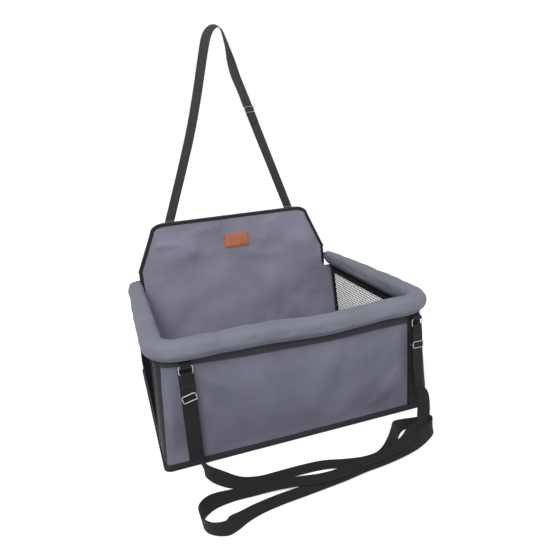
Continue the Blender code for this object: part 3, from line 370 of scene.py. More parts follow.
class ColourSettings(bpy.types.PropertyGroup):
    """Colours of the cloth, webbing and patch."""

    grey_cloth: tint("Grey cloth", "Front, back and lining", (0.160, 0.161, 0.212))
    # Grey cloth painted lighter: painted light on the inner face of the back and flap, the same cloth as the front
    back_cloth: tint("Back cloth", "Inner face of the back and flap", (0.265, 0.258, 0.335))
    rim_cloth: tint("Rim cloth", "Padded rim", (0.192, 0.202, 0.246))
    black_cloth: tint("Black cloth", "Sides, hem, binding and back", (0.014, 0.014, 0.019))
    band_cloth: tint("Band cloth", "Tape under the rim", (0.042, 0.040, 0.054))
    net_thread: tint("Net thread", "Net of the side windows", (0.012, 0.012, 0.015))
    black_webbing: tint("Black webbing", "Front straps", (0.010, 0.010, 0.012))
    grey_webbing: tint("Grey webbing", "Headrest strap", (0.046, 0.046, 0.054))
    leather: tint("Leather", "Bare patch on the flap", (0.520, 0.185, 0.098))
    dark_thread: tint("Dark thread", "Stitches in black cloth", (0.040, 0.040, 0.046))
    grey_thread: tint("Grey thread", "Stitches in grey cloth", (0.110, 0.108, 0.135))


class StageSettings(bpy.types.PropertyGroup):
    """Light and floor of the studio."""

    ambient: amount("Ambient", "Strength of the even light from all round", 0.46)
    key_power: amount("Key power", "Large soft light above the front", 62.0, unit="POWER")
    fill_power: amount("Fill power", "Weaker light on the right", 9.0, unit="POWER")
    floor_colour: tint("Floor colour", "Colour of the pale floor", (0.66, 0.66, 0.66))


def cloth_settings():
    return bpy.context.scene.basket_cloth


def colours():
    return bpy.context.scene.basket_colours


# Shapes of the frame's walls


BACK_STACK = 2 * CLOTH + STIFFENER + 2 * GAP
RIM_WIDTH = BASE_WIDTH - 2 * RIM_INSET
RIM_FRONT = BASE_DEPTH / 2
STRIP_RIGHT = RIM_WIDTH / 2 - STRIP_INSET
BACK_NECK = RIM_WIDTH - 2 * REAR_CORNER
WALL_BOTTOM = CLOTH + GAP
WALL_TOP = RIM_HEIGHT - RIM_RADIUS - GAP
BAND_BOTTOM = WALL_TOP - BAND_HEIGHT
BACK_SHOULDER = WALL_TOP - BAND_HEIGHT / 4
FLAP_BOTTOM_WIDTH = 0.406
FLAP_SHOULDER_WIDTH = 0.338
FLAP_TOP_WIDTH = 0.332
STRAP_SPACING = FLAP_TOP_WIDTH - 2 * STRAP_INSET
HEADREST_FOOT = STRAP_AXIS_Z - 0.0005
LAYER = (WEBBING + GAP) / 2
LOOP_RADIUS = RING_WIRE / 2 + GAP + WEBBING / 2
STRAP_Y = FOLD_Y + BACK_STACK / 2 + 2 * GAP + BINDING_TAPE + WEBBING / 2
LEFT_SLOPE = (HEADREST_ROUTE[0][0] + STRAP_SPACING / 2) / (HEADREST_ROUTE[0][1] - STRAP_AXIS_Z)
RIGHT_SLOPE = (STRAP_SPACING / 2 - HEADREST_ROUTE[-1][0]) / (HEADREST_ROUTE[-1][1] - STRAP_AXIS_Z)


def back_middle(z):
    """Depth of the back wall's middle layer, which leans back up to the fold."""
    foot = BASE_DEPTH / 2 - TAPE - GAP - BACK_STACK / 2
    return mix(foot, FOLD_Y, min(z / FOLD_HEIGHT, 1.0))


BACK_LEAN = math.atan((FOLD_Y - back_middle(0.0)) / FOLD_HEIGHT)
BACK_HALF_DEPTH = BACK_STACK / 2 / math.cos(BACK_LEAN)
SLEEVE_END = back_middle(RIM_HEIGHT - RIM_RADIUS) - BACK_HALF_DEPTH - GAP
REAR_Y = back_middle(RIM_HEIGHT) + BACK_HALF_DEPTH + 4 * GAP + REAR_SLEEVE_RADIUS


def wall_size(z, out):
    """Half width, front and corner radius of the wall's outer face at height z."""
    share = z / RIM_HEIGHT
    half = mix(BASE_WIDTH / 2 - TAPE - GAP, RIM_WIDTH / 2 + WALL_PROUD, share) + out
    front = -mix(BASE_DEPTH / 2 - TAPE - GAP, RIM_FRONT + WALL_PROUD, share) - out
    return half, front, mix(BASE_CORNER, WALL_CORNER, share) + out


def bow(x, z, half):
    """How far the front bulges forward."""
    across = math.cos(math.pi / 2 * min(abs(x) / half, 1.0))
    return FRONT_BOW * math.sin(math.pi * min(z / WALL_TOP, 1.0)) * across**2


def front_point(x, z, out=0.0):
    """Point on the front wall, or round its corner, at a sideways place x."""
    half, front, corner = wall_size(z, out)
    past = max(0.0, abs(x) - (half - corner))
    y = front + corner - math.sqrt(corner**2 - past**2)
    return Vector((x, y - bow(x, z, half), z))


def wall_point(s, z, out=0.0):
    """Point on the wall at height z: s runs 0 to 1 along the left side, to 2 round the left
    corner, to 3 along the front, to 4 round the right corner and to 5 along the right side."""
    half, front, corner = wall_size(z, out)
    hand = -1 if s < 2.5 else 1
    s = min(s, 5 - s)
    if s <= 1:
        rear = back_middle(z) - BACK_HALF_DEPTH - GAP
        return Vector((hand * half, mix(rear, front + corner, s), z))
    if s <= 2:
        turn = (s - 1) * math.pi / 2
        x = half - corner + corner * math.cos(turn)
        y = front + corner - corner * math.sin(turn)
    else:
        x = (half - corner) * (2.5 - s) * 2
        y = front
    return Vector((hand * x, y - bow(x, z, half), z))


def rim_sag(x, y):
    """How far the rim droops in the middle of the front, over a place on the floor plan."""
    across = min(abs(x - SAG_MIDDLE) / SAG_HALF_WIDTH, 1.0)
    return SAG_DEPTH * math.cos(math.pi / 2 * across) ** 2 * ease(-y, 0.150, 0.172)


def rim_underside(x, y):
    """Height of the rim's underside over a place on the floor plan."""
    past_x = abs(x) - (RIM_WIDTH / 2 - RIM_CORNER)
    past_y = -y - (RIM_FRONT - RIM_CORNER)
    if past_x > 0 and past_y > 0:
        off = math.hypot(past_x, past_y) - RIM_CORNER
    else:
        off = max(past_x, past_y) - RIM_CORNER
    off = max(off - CLOTH, min(off, 0.0))
    drop = math.sqrt(max(RIM_RADIUS**2 - off**2, 0.0))
    return RIM_HEIGHT - drop - GAP - rim_sag(x, y)


def wall_top(place):
    """Height of the wall's upper edge, which follows the rim's underside."""
    top = place(WALL_TOP)
    return max(rim_underside(top.x, top.y), WALL_TOP - rim_sag(top.x, top.y))


def right_run(z):
    """Sideways place of the headrest strap's straight right run at height z."""
    return STRAP_SPACING / 2 - RIGHT_SLOPE * (z - STRAP_AXIS_Z)


def fold_height(x, z, folds):
    """Height of soft folds at a place."""
    total = 0.0
    for place_x, place_z, length, width, turn, height in folds:
        c, s = math.cos(math.radians(turn)), math.sin(math.radians(turn))
        along = ((x - place_x) * c + (z - place_z) * s) / length
        across = ((z - place_z) * c - (x - place_x) * s) / width
        total += height * math.exp(-along * along - across * across)
    return total * cloth_settings().fold_depth


def ripple(x, z, size, seed):
    """Gentle unevenness of handled cloth, from -1 to 1."""
    return noise.noise(Vector((x / size, z / size, seed)))


# Meshes


def smooth(keys, steps):
    """Points of a smooth curve through rows of numbers, with steps to each stretch."""
    keys = np.array(keys, float)
    padded = np.vstack([2 * keys[0] - keys[1], keys, 2 * keys[-1] - keys[-2]])
    found = []
    for i in range(1, len(padded) - 2):
        a, b, c, d = padded[i - 1 : i + 3]
        for t in np.arange(steps) / steps:
            bend = (2 * a - 5 * b + 4 * c - d) * t**2 + (3 * b - a - 3 * c + d) * t**3
            found.append(0.5 * (2 * b + (c - a) * t + bend))
    return np.array(found + [keys[-1]])


def unit(vectors):
    length = np.linalg.norm(vectors, axis=-1, keepdims=True)
    return vectors / np.maximum(length, 1e-12)


def run_length(points):
    """Distance from the first point along a row of points."""
    steps = np.linalg.norm(np.diff(points, axis=0), axis=1)
    return np.concatenate([[0.0], np.cumsum(steps)])


def lay_out(mesh, layer, uv):
    """Cloth map of a mesh, from a place on the cloth for each of its points."""
    corners = np.zeros(len(mesh.loops), int)
    mesh.loops.foreach_get("vertex_index", corners)
    layer.data.foreach_set("uv", np.asarray(uv, float)[corners].reshape(-1))


def mesh_of(name, points, faces, uv):
    """Smooth mesh with its cloth map in metres."""
    mesh = bpy.data.meshes.new(name)
    mesh.from_pydata([tuple(p) for p in points], [], [tuple(f) for f in faces])
    lay_out(mesh, mesh.uv_layers.new(name="cloth"), uv)
    mesh.shade_smooth()
    mesh.set_sharp_from_angle(angle=math.radians(50))
    return mesh


def through(*stretches):
    """Places through stretches that follow on, each from, to and in how many places."""
    found = [np.linspace(*stretch) for stretch in stretches]
    return np.concatenate(found[:1] + [places[1:] for places in found[1:]])


def point_grid(rows, columns, place):
    """Grid of points, from a place for each column and row."""
    return np.array([[place(column, row) for column in columns] for row in rows], float)


def slopes(grid, axis, wrap):
    if wrap:
        return np.roll(grid, -1, axis) - np.roll(grid, 1, axis)
    return np.gradient(grid, axis=axis)


def normals(grid, toward, wrap=False):
    """Unit normals of a grid of points, on the side that toward points to at its middle."""
    found = unit(np.cross(slopes(grid, 1, wrap), slopes(grid, 0, False)))
    middle = found[grid.shape[0] // 2, grid.shape[1] // 2]
    return found if np.dot(middle, toward) > 0 else -found


def layer_mesh(name, grid, thickness, toward, keep=None, wrap=False):
    """Closed layer of cloth: the grid is its face towards toward, and its other face lies a
    thickness behind. keep says which cells of the grid are cut out of the cloth."""
    rows, columns = grid.shape[:2]
    count = rows * columns
    face = normals(grid, toward, wrap)
    across = np.cross(slopes(grid, 1, wrap), slopes(grid, 0, False))
    flipped = np.sum(across[rows // 2, columns // 2] * face[rows // 2, columns // 2]) < 0
    depth = np.broadcast_to(np.asarray(thickness, float), (rows, columns))[..., None]
    points = np.concatenate([grid.reshape(-1, 3), (grid - face * depth).reshape(-1, 3)])
    index = np.arange(count).reshape(rows, columns)
    left = index if wrap else index[:, :-1]
    right = np.roll(index, -1, 1) if wrap else index[:, 1:]
    quads = np.stack([left[:-1], right[:-1], right[1:], left[1:]], axis=-1)
    quads = quads[keep] if keep is not None else quads.reshape(-1, 4)
    if flipped:
        quads = quads[:, ::-1]
    edges = {(q[i], q[(i + 1) % 4]) for q in quads.tolist() for i in range(4)}
    edge_faces = [(b, a, a + count, b + count) for a, b in edges if (b, a) not in edges]
    faces = quads.tolist() + (quads[:, ::-1] + count).tolist() + sorted(edge_faces)
    along = run_length(grid[rows // 2])
    up = run_length(grid[:, columns // 2])
    uv = np.stack(np.meshgrid(along, up), axis=-1).reshape(-1, 2)
    mesh = mesh_of(name, points, faces, np.concatenate([uv, uv]))
    loose = bmesh.new()
    loose.from_mesh(mesh)
    bmesh.ops.delete(loose, geom=[v for v in loose.verts if not v.link_faces], context="VERTS")
    loose.to_mesh(mesh)
    loose.free()
    return mesh


def turned_out(mesh, afresh=False):
    """The closed mesh with its faces outwards: each found afresh, or all turned at once."""
    body = bmesh.new()
    body.from_mesh(mesh)
    if afresh:
        bmesh.ops.recalc_face_normals(body, faces=body.faces)
    elif body.calc_volume(signed=True) < 0:
        bmesh.ops.reverse_faces(body, faces=body.faces)
    body.to_mesh(mesh)
    body.free()
    return mesh


def swept_mesh(name, rings, closed=False, outward=True):
    """Closed body through rings of points, with flat ends unless the run itself is closed."""
    rings = np.asarray(rings, float)
    count, around = rings.shape[:2]
    index = np.arange(count * around).reshape(count, around)
    after = np.roll(index, -1, 1)
    last = count if closed else count - 1
    faces = []
    for i in range(last):
        j = (i + 1) % count
        faces += np.stack([index[i], after[i], after[j], index[j]], axis=-1).tolist()
    if not closed:
        faces += [index[0][::-1].tolist(), index[-1].tolist()]
    girth = run_length(rings[count // 2])
    along = run_length(rings.mean(axis=1))
    uv = np.stack(np.meshgrid(girth, along), axis=-1).reshape(-1, 2)
    mesh = mesh_of(name, rings.reshape(-1, 3), faces, uv)
    return turned_out(mesh, outward)


def strap_profile(width, thickness):
    """Outline of flat webbing with rounded selvedges: across and through."""
    half, radius = width / 2 - thickness / 2, thickness / 2
    across = np.linspace(-half, half, 7)
    top = [(x, radius) for x in across]
    bottom = [(x, -radius) for x in across[::-1]]
    turns = np.radians([60, 20, -20, -60])
    right = [(half + radius * math.cos(a), radius * math.sin(a)) for a in turns]
    left = [(-half - radius * math.cos(a), -radius * math.sin(a)) for a in turns]
    return np.array(top + right + bottom + left)


def webbing_mesh(name, centres, sides, widths):
    """Flat webbing along a run of centres, with the direction across it at each."""
    centres = np.asarray(centres, float)
    sides = unit(np.asarray(sides, float))
    ahead = unit(np.gradient(centres, axis=0))
    through = unit(np.cross(ahead, sides))
    rings, across = [], []
    for centre, side, up, width in zip(centres, sides, through, widths):
        profile = strap_profile(width, WEBBING)
        rings.append(centre + profile[:, :1] * side + profile[:, 1:] * up)
        across.append(profile[:, 0])
    mesh = swept_mesh(name, rings)
    along = np.repeat(run_length(centres)[:, None], len(profile), 1)
    lay_out(mesh, mesh.uv_layers["cloth"], np.stack([np.array(across), along], -1).reshape(-1, 2))
    return mesh


def round_rings(centres, radius, sides, up=(0, 0, 1), closed=False):
    """Rings of a round wire along a run of centres."""
    centres = np.asarray(centres, float)
    if closed:
        ahead = unit(np.roll(centres, -1, 0) - np.roll(centres, 1, 0))
    else:
        ahead = unit(np.gradient(centres, axis=0))
    first = unit(np.cross(ahead, np.asarray(up, float)))
    second = np.cross(ahead, first)
    turns = np.arange(sides) * 2 * math.pi / sides
    radius = np.broadcast_to(radius, (len(centres),))[:, None, None]
    circle = first[:, None] * np.cos(turns)[None, :, None]
    circle = circle + second[:, None] * np.sin(turns)[None, :, None]
    return centres[:, None] + circle * radius


def place_piece(name, mesh, finish, *nodes, slot=None):
    """Piece that stands for its CAD nodes; its finish names its slot unless one is given."""
    mesh.materials.clear()
    mesh.materials.append(finish_of(finish))
    piece = bpy.data.objects.new(name, mesh)
    bpy.context.scene.collection.objects.link(piece)
    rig.slot(piece, slot or finish)
    if nodes:
        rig.replaces(piece, *nodes)
    return piece


def riding(body, name, mesh, finish, *nodes, slot=None):
    """Piece that moves with one body."""
    piece = place_piece(name, mesh, finish, *nodes, slot=slot)
    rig.ride(piece, body)
    return piece


def bend_at_fold(piece):
    """Lets a piece bend where the flap folds."""
    fold, rise = Vector((0, FOLD_Y, FOLD_HEIGHT)), Vector((0, 0, 0.008))
    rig.blend(piece, "basket", "flap", fold - rise, fold + rise)


def webbing_piece(body, node, finish, centres, sides, widths):
    """Webbing that stands for one CAD node and moves with one body."""
    name = node + "_webbing"
    mesh = webbing_mesh(name, np.array(centres, float), np.array(sides, float), widths)
    return riding(body, name, mesh, finish, node)


def tied(piece, points, width, lay):
    """Declares a piece a cord along its points."""
    length = round(float(run_length(points)[-1]), 3)
    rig.cord(
        piece, exit=points[0], length=length, diameter=width, far_end="object",
        stiffness="limp", lay=lay, path=points,
    )


def joined(name, meshes):
    """One mesh of several."""
    body = bmesh.new()
    for mesh in meshes:
        body.from_mesh(mesh)
        bpy.data.meshes.remove(mesh)
    mesh = bpy.data.meshes.new(name)
    body.to_mesh(mesh)
    body.free()
    return mesh


# Materials


class Wiring:
    """Adds nodes to a tree and joins their sockets."""

    def __init__(self, tree):
        self.tree = tree

    def give(self, socket, value):
        """Joins a socket to an output, or sets its value."""
        if isinstance(value, bpy.types.NodeSocket):
            self.tree.links.new(value, socket)
        else:
            socket.default_value = value

    def add(self, kind, inputs=None, **settings):
        made = self.tree.nodes.new(kind)
        for key, value in settings.items():
            setattr(made, key, value)
        for key, value in (inputs or {}).items():
            self.give(made.inputs[key], value)
        return made

    def first(self, kind, inputs=None, **settings):
        """First output of a new node."""
        return self.add(kind, inputs, **settings).outputs[0]

    def math(self, operation, *values):
        return self.first("ShaderNodeMath", dict(enumerate(values)), operation=operation)

    def wave(self, count):
        """Up and down once between 0 and 1 for each whole count."""
        turn = self.math("MULTIPLY", count, math.pi)
        return self.math("ABSOLUTE", self.math("SINE", turn))

    def noise(self, place, scale, detail, **more):
        inputs = {"Vector": place, "Scale": scale, "Detail": detail, **more}
        return self.first("ShaderNodeTexNoise", inputs)

    def ranged(self, value, low, high, start=0.0, end=1.0):
        """Value that runs from start to end, moved to run from low to high."""
        inputs = {0: value, 1: start, 2: end, 3: low, 4: high}
        return self.first("ShaderNodeMapRange", inputs)

    def bump(self, height, distance, strength, **more):
        inputs = {"Height": height, "Distance": distance, "Strength": strength, **more}
        return self.first("ShaderNodeBump", inputs)

    def group(self, name, inputs):
        tree = bpy.data.node_groups[name]
        return self.add("ShaderNodeGroup", inputs, node_tree=tree).outputs

    def shade(self, factor, dark, light):
        """Colour between two others."""
        inputs = {0: factor, 6: dark, 7: light}
        return self.add("ShaderNodeMix", inputs, data_type="RGBA").outputs[2]


def new_group(name, kind, inputs, outputs):
    """Empty node group and its two ends. Each socket is given by its sort or its default."""
    group = bpy.data.node_groups.new(name, kind + "NodeTree")
    for direction, sockets in (("INPUT", inputs), ("OUTPUT", outputs)):
        for label, value in sockets.items():
            sort = value if isinstance(value, str) else "Float"
            sort = "NodeSocket" + ("Color" if isinstance(value, tuple) else sort)
            socket = group.interface.new_socket(label, in_out=direction, socket_type=sort)
            if not isinstance(value, str):
                socket.default_value = value
    wiring = Wiring(group)
    start = wiring.add("NodeGroupInput").outputs
    return wiring, start, wiring.add("NodeGroupOutput").inputs


def make_plain_weave():
    """Threads that pass over and under each other, on the cloth map."""
    inputs = {"Place": "Vector", "Pitch": 0.0005}
    outputs = {"Height": "Float", "Thread": "Float"}
    wiring, start, end = new_group("plain_weave", "Shader", inputs, outputs)
    axes = wiring.add("ShaderNodeSeparateXYZ", {0: start["Place"]}).outputs
    counts = [wiring.math("DIVIDE", axis, start["Pitch"]) for axis in (axes[0], axes[1])]
    waves = [wiring.wave(count) for count in counts]
    cell = wiring.math("ADD", *[wiring.math("FLOOR", count) for count in counts])
    over = wiring.math("ABSOLUTE", wiring.math("MODULO", cell, 2.0))
    crown = wiring.math("MULTIPLY", *waves)
    low = wiring.math("MULTIPLY", crown, 0.55)
    raised = wiring.math("MULTIPLY", wiring.math("SUBTRACT", crown, low), over)
    wiring.give(end["Height"], wiring.math("ADD", low, raised))
    # Thread is 0 in the gaps between the threads, where the colour takes painted shade
    wiring.give(end["Thread"], wiring.math("MINIMUM", *waves))


def make_ribbed_weave():
    """Chevron ribs of flat webbing with its lengthwise threads, on the cloth map."""
    inputs = {"Place": "Vector", "Pitch": 0.0012, "Panel": 0.005}
    outputs = {"Height": "Float", "Thread": "Float"}
    wiring, start, end = new_group("ribbed_weave", "Shader", inputs, outputs)
    axes = wiring.add("ShaderNodeSeparateXYZ", {0: start["Place"]}).outputs
    zigzag = wiring.math("PINGPONG", axes[0], start["Panel"])
    lean = wiring.math("ADD", axes[1], wiring.math("MULTIPLY", zigzag, 0.8))
    rib = wiring.wave(wiring.math("DIVIDE", lean, start["Pitch"]))
    warp = wiring.math("MULTIPLY", wiring.wave(wiring.math("DIVIDE", axes[0], WARP_PITCH)), 0.4)
    crown = wiring.math("POWER", rib, 0.6)
    wiring.give(end["Height"], wiring.math("MULTIPLY", crown, wiring.math("ADD", warp, 0.6)))
    # Thread is low in the grooves between the ribs, where the colour takes painted shade
    wiring.give(end["Thread"], rib)


def make_cloth_fade():
    """Colour that varies as handled cloth does, in broad patches and fine fibres."""
    inputs = {"Place": "Vector", "Colour": opaque((0.5, 0.5, 0.5)), "Amount": 0.15}
    inputs["Patch Size"] = 0.08
    outputs = {"Colour": "Color", "Mask": "Float", "Fuzz": "Float"}
    wiring, start, end = new_group("cloth_fade", "Shader", inputs, outputs)
    scale = wiring.math("DIVIDE", 1.0, start["Patch Size"])
    patch = wiring.noise(start["Place"], scale, 3.0, Roughness=0.55)
    fuzz = wiring.noise(start["Place"], FINE_SCALE, 2.0)
    mask = wiring.ranged(patch, 0.0, 1.0, 0.3, 0.7)
    uneven = wiring.math("ADD", mask, wiring.math("MULTIPLY", fuzz, 0.6))
    centred = wiring.math("SUBTRACT", uneven, 0.8)
    tone = wiring.math("ADD", 1.0, wiring.math("MULTIPLY", centred, start["Amount"]))
    inputs = {"Color": start["Colour"], "Value": tone}
    wiring.give(end["Colour"], wiring.first("ShaderNodeHueSaturation", inputs))
    wiring.give(end["Mask"], mask)
    wiring.give(end["Fuzz"], fuzz)


def make_leather_grain():
    """Pebbled grain with creases between the pebbles; Crease also masks the painted shade in them."""
    inputs = {"Place": "Vector", "Pebble": 0.0009}
    outputs = {"Height": "Float", "Crease": "Float"}
    wiring, start, end = new_group("leather_grain", "Shader", inputs, outputs)
    scale = wiring.math("DIVIDE", 1.0, start["Pebble"])
    inputs = {"Vector": start["Place"], "Scale": scale, "Randomness": 0.9}
    cells = wiring.first("ShaderNodeTexVoronoi", inputs, feature="DISTANCE_TO_EDGE")
    pebble = wiring.ranged(cells, 0.0, 1.0, 0.0, 0.12)
    pores = wiring.math("MULTIPLY", wiring.noise(start["Place"], 220.0, 4.0), 0.5)
    height = wiring.math("ADD", wiring.math("MULTIPLY", pebble, 0.7), pores)
    wiring.give(end["Height"], height)
    wiring.give(end["Crease"], wiring.math("SUBTRACT", 1.0, pebble))


def make_handling_marks():
    """Fine scratches and smudges on wire, tube and moulded plastic."""
    inputs = {"Place": "Vector", "Stretch": "Vector"}
    outputs = {"Scratches": "Float", "Smudges": "Float"}
    wiring, start, end = new_group("handling_marks", "Shader", inputs, outputs)
    inputs = {0: start["Place"], 1: start["Stretch"]}
    place = wiring.first("ShaderNodeVectorMath", inputs, operation="MULTIPLY")
    scratches = wiring.noise(place, FINE_SCALE, 4.0, Roughness=0.7)
    wiring.give(end["Scratches"], scratches)
    wiring.give(end["Smudges"], wiring.noise(start["Place"], 90.0, 3.0))


class Look(Wiring):
    """Material, its shader, and the place on the piece that its looks follow."""

    def __init__(self, name, roughness=0.5):
        self.material = bpy.data.materials.new(name)
        self.material.use_nodes = True
        super().__init__(self.material.node_tree)
        self.shader = self.tree.nodes["Principled BSDF"]
        self.place = self.add("ShaderNodeTexCoord").outputs["Object"]
        self.set({"Roughness": roughness})

    def set(self, values):
        """Gives the shader's sockets their values."""
        for label, value in values.items():
            self.give(self.shader.inputs[label], value)

    def fade(self, colour, amount, patch):
        inputs = {"Place": self.place, "Colour": opaque(colour), "Amount": amount}
        return self.group("cloth_fade", {**inputs, "Patch Size": patch})

    def weave(self, name, **sizes):
        """Weave on the cloth map."""
        flat = self.first("ShaderNodeUVMap", uv_map="cloth")
        return self.group(name, {"Place": flat, **sizes})

    def sunk(self, weave, fade, share):
        """Faded colour, with painted shade between the threads."""
        low = self.first("ShaderNodeHueSaturation", {"Color": fade["Colour"], "Value": share})
        return self.shade(weave["Thread"], low, fade["Colour"])


def opaque(colour):
    """Colour with nothing showing through."""
    return (*colour, 1.0)


def darker(colour, share):
    return (*[channel * share for channel in colour], 1.0)


def cloth_shader(name, colour, pitch=0.00055, amount=0.26):
    """Coated plain-weave cloth, with soft crumples and billows, and painted shade between its threads."""
    look = Look(name)
    weave = look.weave("plain_weave", Pitch=pitch)
    fade = look.fade(colour, amount, 0.07)
    crumple = look.noise(look.place, 55.0, 5.0, Roughness=0.6)
    billow = look.noise(look.place, 8.0, 1.4, Distortion=0.5)
    soft = look.bump(billow, 0.0300, 0.6, Normal=look.bump(crumple, 0.0016, 0.4))
    look.set({
        # Painted shade between the threads of the weave
        "Base Color": look.sunk(weave, fade, 0.82),
        "Roughness": look.ranged(fade["Mask"], 0.72, 0.84),
        "Normal": look.bump(weave["Height"], 0.00012, 0.6, Normal=soft),
        "Sheen Weight": 0.04,
        "Sheen Roughness": 0.5,
        "Specular IOR Level": 0.25,
    })
    return look.material


def webbing_shader(name, colour):
    """Ribbed polypropylene webbing, with painted shade between its ribs."""
    look = Look(name)
    ribs = look.weave("ribbed_weave", Pitch=0.0014, Panel=0.005)
    fade = look.fade(colour, 0.25, 0.03)
    look.set({
        # Painted shade in the grooves between the ribs
        "Base Color": look.sunk(ribs, fade, 0.6),
        "Roughness": look.ranged(fade["Fuzz"], 0.70, 0.90),
        "Normal": look.bump(ribs["Height"], 0.00035, 0.8),
        "Sheen Weight": 0.04,
        "Sheen Roughness": 0.4,
        "Specular IOR Level": 0.25,
    })
    return look.material


def fibre_shader(name, colour, patch, depth, roughness, sheen=0.0, specular=0.5):
    """Twisted thread, or pressed board with flecks."""
    look = Look(name, roughness)
    fade = look.fade(colour, 0.5, patch)
    look.set({
        "Base Color": fade["Colour"],
        "Normal": look.bump(fade["Fuzz"], depth, 0.6),
        "Sheen Weight": sheen,
        "Specular IOR Level": specular,
    })
    return look.material


def leather_shader(name, colour):
    """Bare vegetable-tanned leather, with painted shade in the creases of its grain."""
    look = Look(name)
    grain = look.group("leather_grain", {"Place": look.place, "Pebble": 0.0011})
    fade = look.fade(colour, 0.35, 0.02)
    look.set({
        # Painted shade in the creases between the pebbles
        "Base Color": look.shade(grain["Crease"], fade["Colour"], darker(colour, 0.72)),
        "Roughness": look.ranged(fade["Mask"], 0.42, 0.58),
        "Normal": look.bump(grain["Height"], 0.0002, 0.7),
    })
    return look.material


def hard_shader(name, colour, tones, worn, rough, relief, metallic, stretch=(1.0, 1.0, 1.0)):
    """Metal or plastic with handling marks; worn names the marks that change its roughness."""
    look = Look(name)
    marks = look.group("handling_marks", {"Place": look.place, "Stretch": stretch})
    shades = [darker(colour, share) for share in tones]
    look.set({
        "Metallic": metallic,
        "Base Color": look.shade(marks["Smudges"], *shades),
        "Roughness": look.ranged(marks[worn], *rough),
        "Normal": look.bump(marks["Scratches"], *relief),
    })
    return look.material


def metal_shader(name, colour, roughness, **more):
    """Plated wire or drawn tube."""
    rough, relief = (roughness - 0.08, roughness + 0.12), (0.00005, 0.4)
    return hard_shader(name, colour, (0.82, 1.0), "Scratches", rough, relief, 1.0, **more)


def plastic_shader(name, colour):
    """Moulded elbow with a fine spark texture."""
    rough, relief = (0.40, 0.60), (0.0001, 0.5)
    return hard_shader(name, colour, (1.0, 1.5), "Smudges", rough, relief, 0.0)


THREAD = {"patch": 0.004, "depth": 0.0002, "roughness": 0.6, "sheen": 0.2}
NET_THREAD = {**THREAD, "sheen": 0.0, "specular": 0.0}
BOARD_FIBRE = {"patch": 0.006, "depth": 0.0003, "roughness": 0.85}
# Each finish: its shader, its colour where the sidebar has none, and what else the shader needs
FINISHES = {
    "grey_cloth": (cloth_shader, None, {}),
    # The grey cloth painted lighter, as painted light on the inner back and flap
    "back_cloth": (cloth_shader, None, {"amount": 0.22}),
    "rim_cloth": (cloth_shader, None, {"amount": 0.18}),
    "black_cloth": (cloth_shader, None, {"amount": 0.30}),
    "band_cloth": (cloth_shader, None, {"pitch": 0.0007}),
    "net_thread": (fibre_shader, None, NET_THREAD),
    "black_webbing": (webbing_shader, None, {}),
    "grey_webbing": (webbing_shader, None, {}),
    "dark_thread": (fibre_shader, None, THREAD),
    "grey_thread": (fibre_shader, None, THREAD),
    "leather": (leather_shader, None, {}),
    "steel_wire": (metal_shader, (0.44, 0.44, 0.46), {"roughness": 0.30}),
    "aluminium": (metal_shader, (0.62, 0.62, 0.64), {"roughness": 0.34, "stretch": (0.05, 1, 1)}),
    "elbow_plastic": (plastic_shader, (0.030, 0.030, 0.032), {}),
    "stiff_board": (fibre_shader, (0.120, 0.118, 0.110), BOARD_FIBRE),
}


def finish_of(name):
    """Material of a finish, made when it is first asked for."""
    label = "basket_" + name
    found = bpy.data.materials.get(label)
    if found:
        return found
    shader, fixed, more = FINISHES[name]
    return shader(label, fixed or getattr(colours(), name), **more)


# Geometry node trees


def make_stitch_tree():
    """Stitches laid end to end along the edges of a mesh."""
    inputs = {"Seam": "Geometry", "Pitch": 0.0034, "Length": 0.0025, "Thread": 0.0005}
    inputs["Finish"] = "Material"
    wiring, start, end = new_group("stitch_row", "Geometry", inputs, {"Stitches": "Geometry"})
    line = wiring.first("GeometryNodeMeshToCurve", {"Mesh": start["Seam"]})
    inputs = {"Curve": line, "Length": start["Pitch"]}
    spots = wiring.add("GeometryNodeCurveToPoints", inputs, mode="LENGTH").outputs
    inputs = {"Vector": spots["Tangent"]}
    turn = wiring.first("FunctionNodeAlignRotationToVector", inputs, axis="X")
    inputs = {"Segments": 6, "Rings": 4, "Radius": 0.5}
    ball = wiring.first("GeometryNodeMeshUVSphere", inputs)
    inputs = {0: start["Length"], 1: start["Thread"], 2: start["Thread"]}
    size = wiring.first("ShaderNodeCombineXYZ", inputs)
    inputs = {"Points": spots["Points"], "Instance": ball, "Rotation": turn, "Scale": size}
    rows = wiring.first("GeometryNodeInstanceOnPoints", inputs)
    solid = wiring.first("GeometryNodeRealizeInstances", {"Geometry": rows})
    inputs = {"Geometry": solid, "Material": start["Finish"]}
    wiring.give(end["Stitches"], wiring.first("GeometryNodeSetMaterial", inputs))


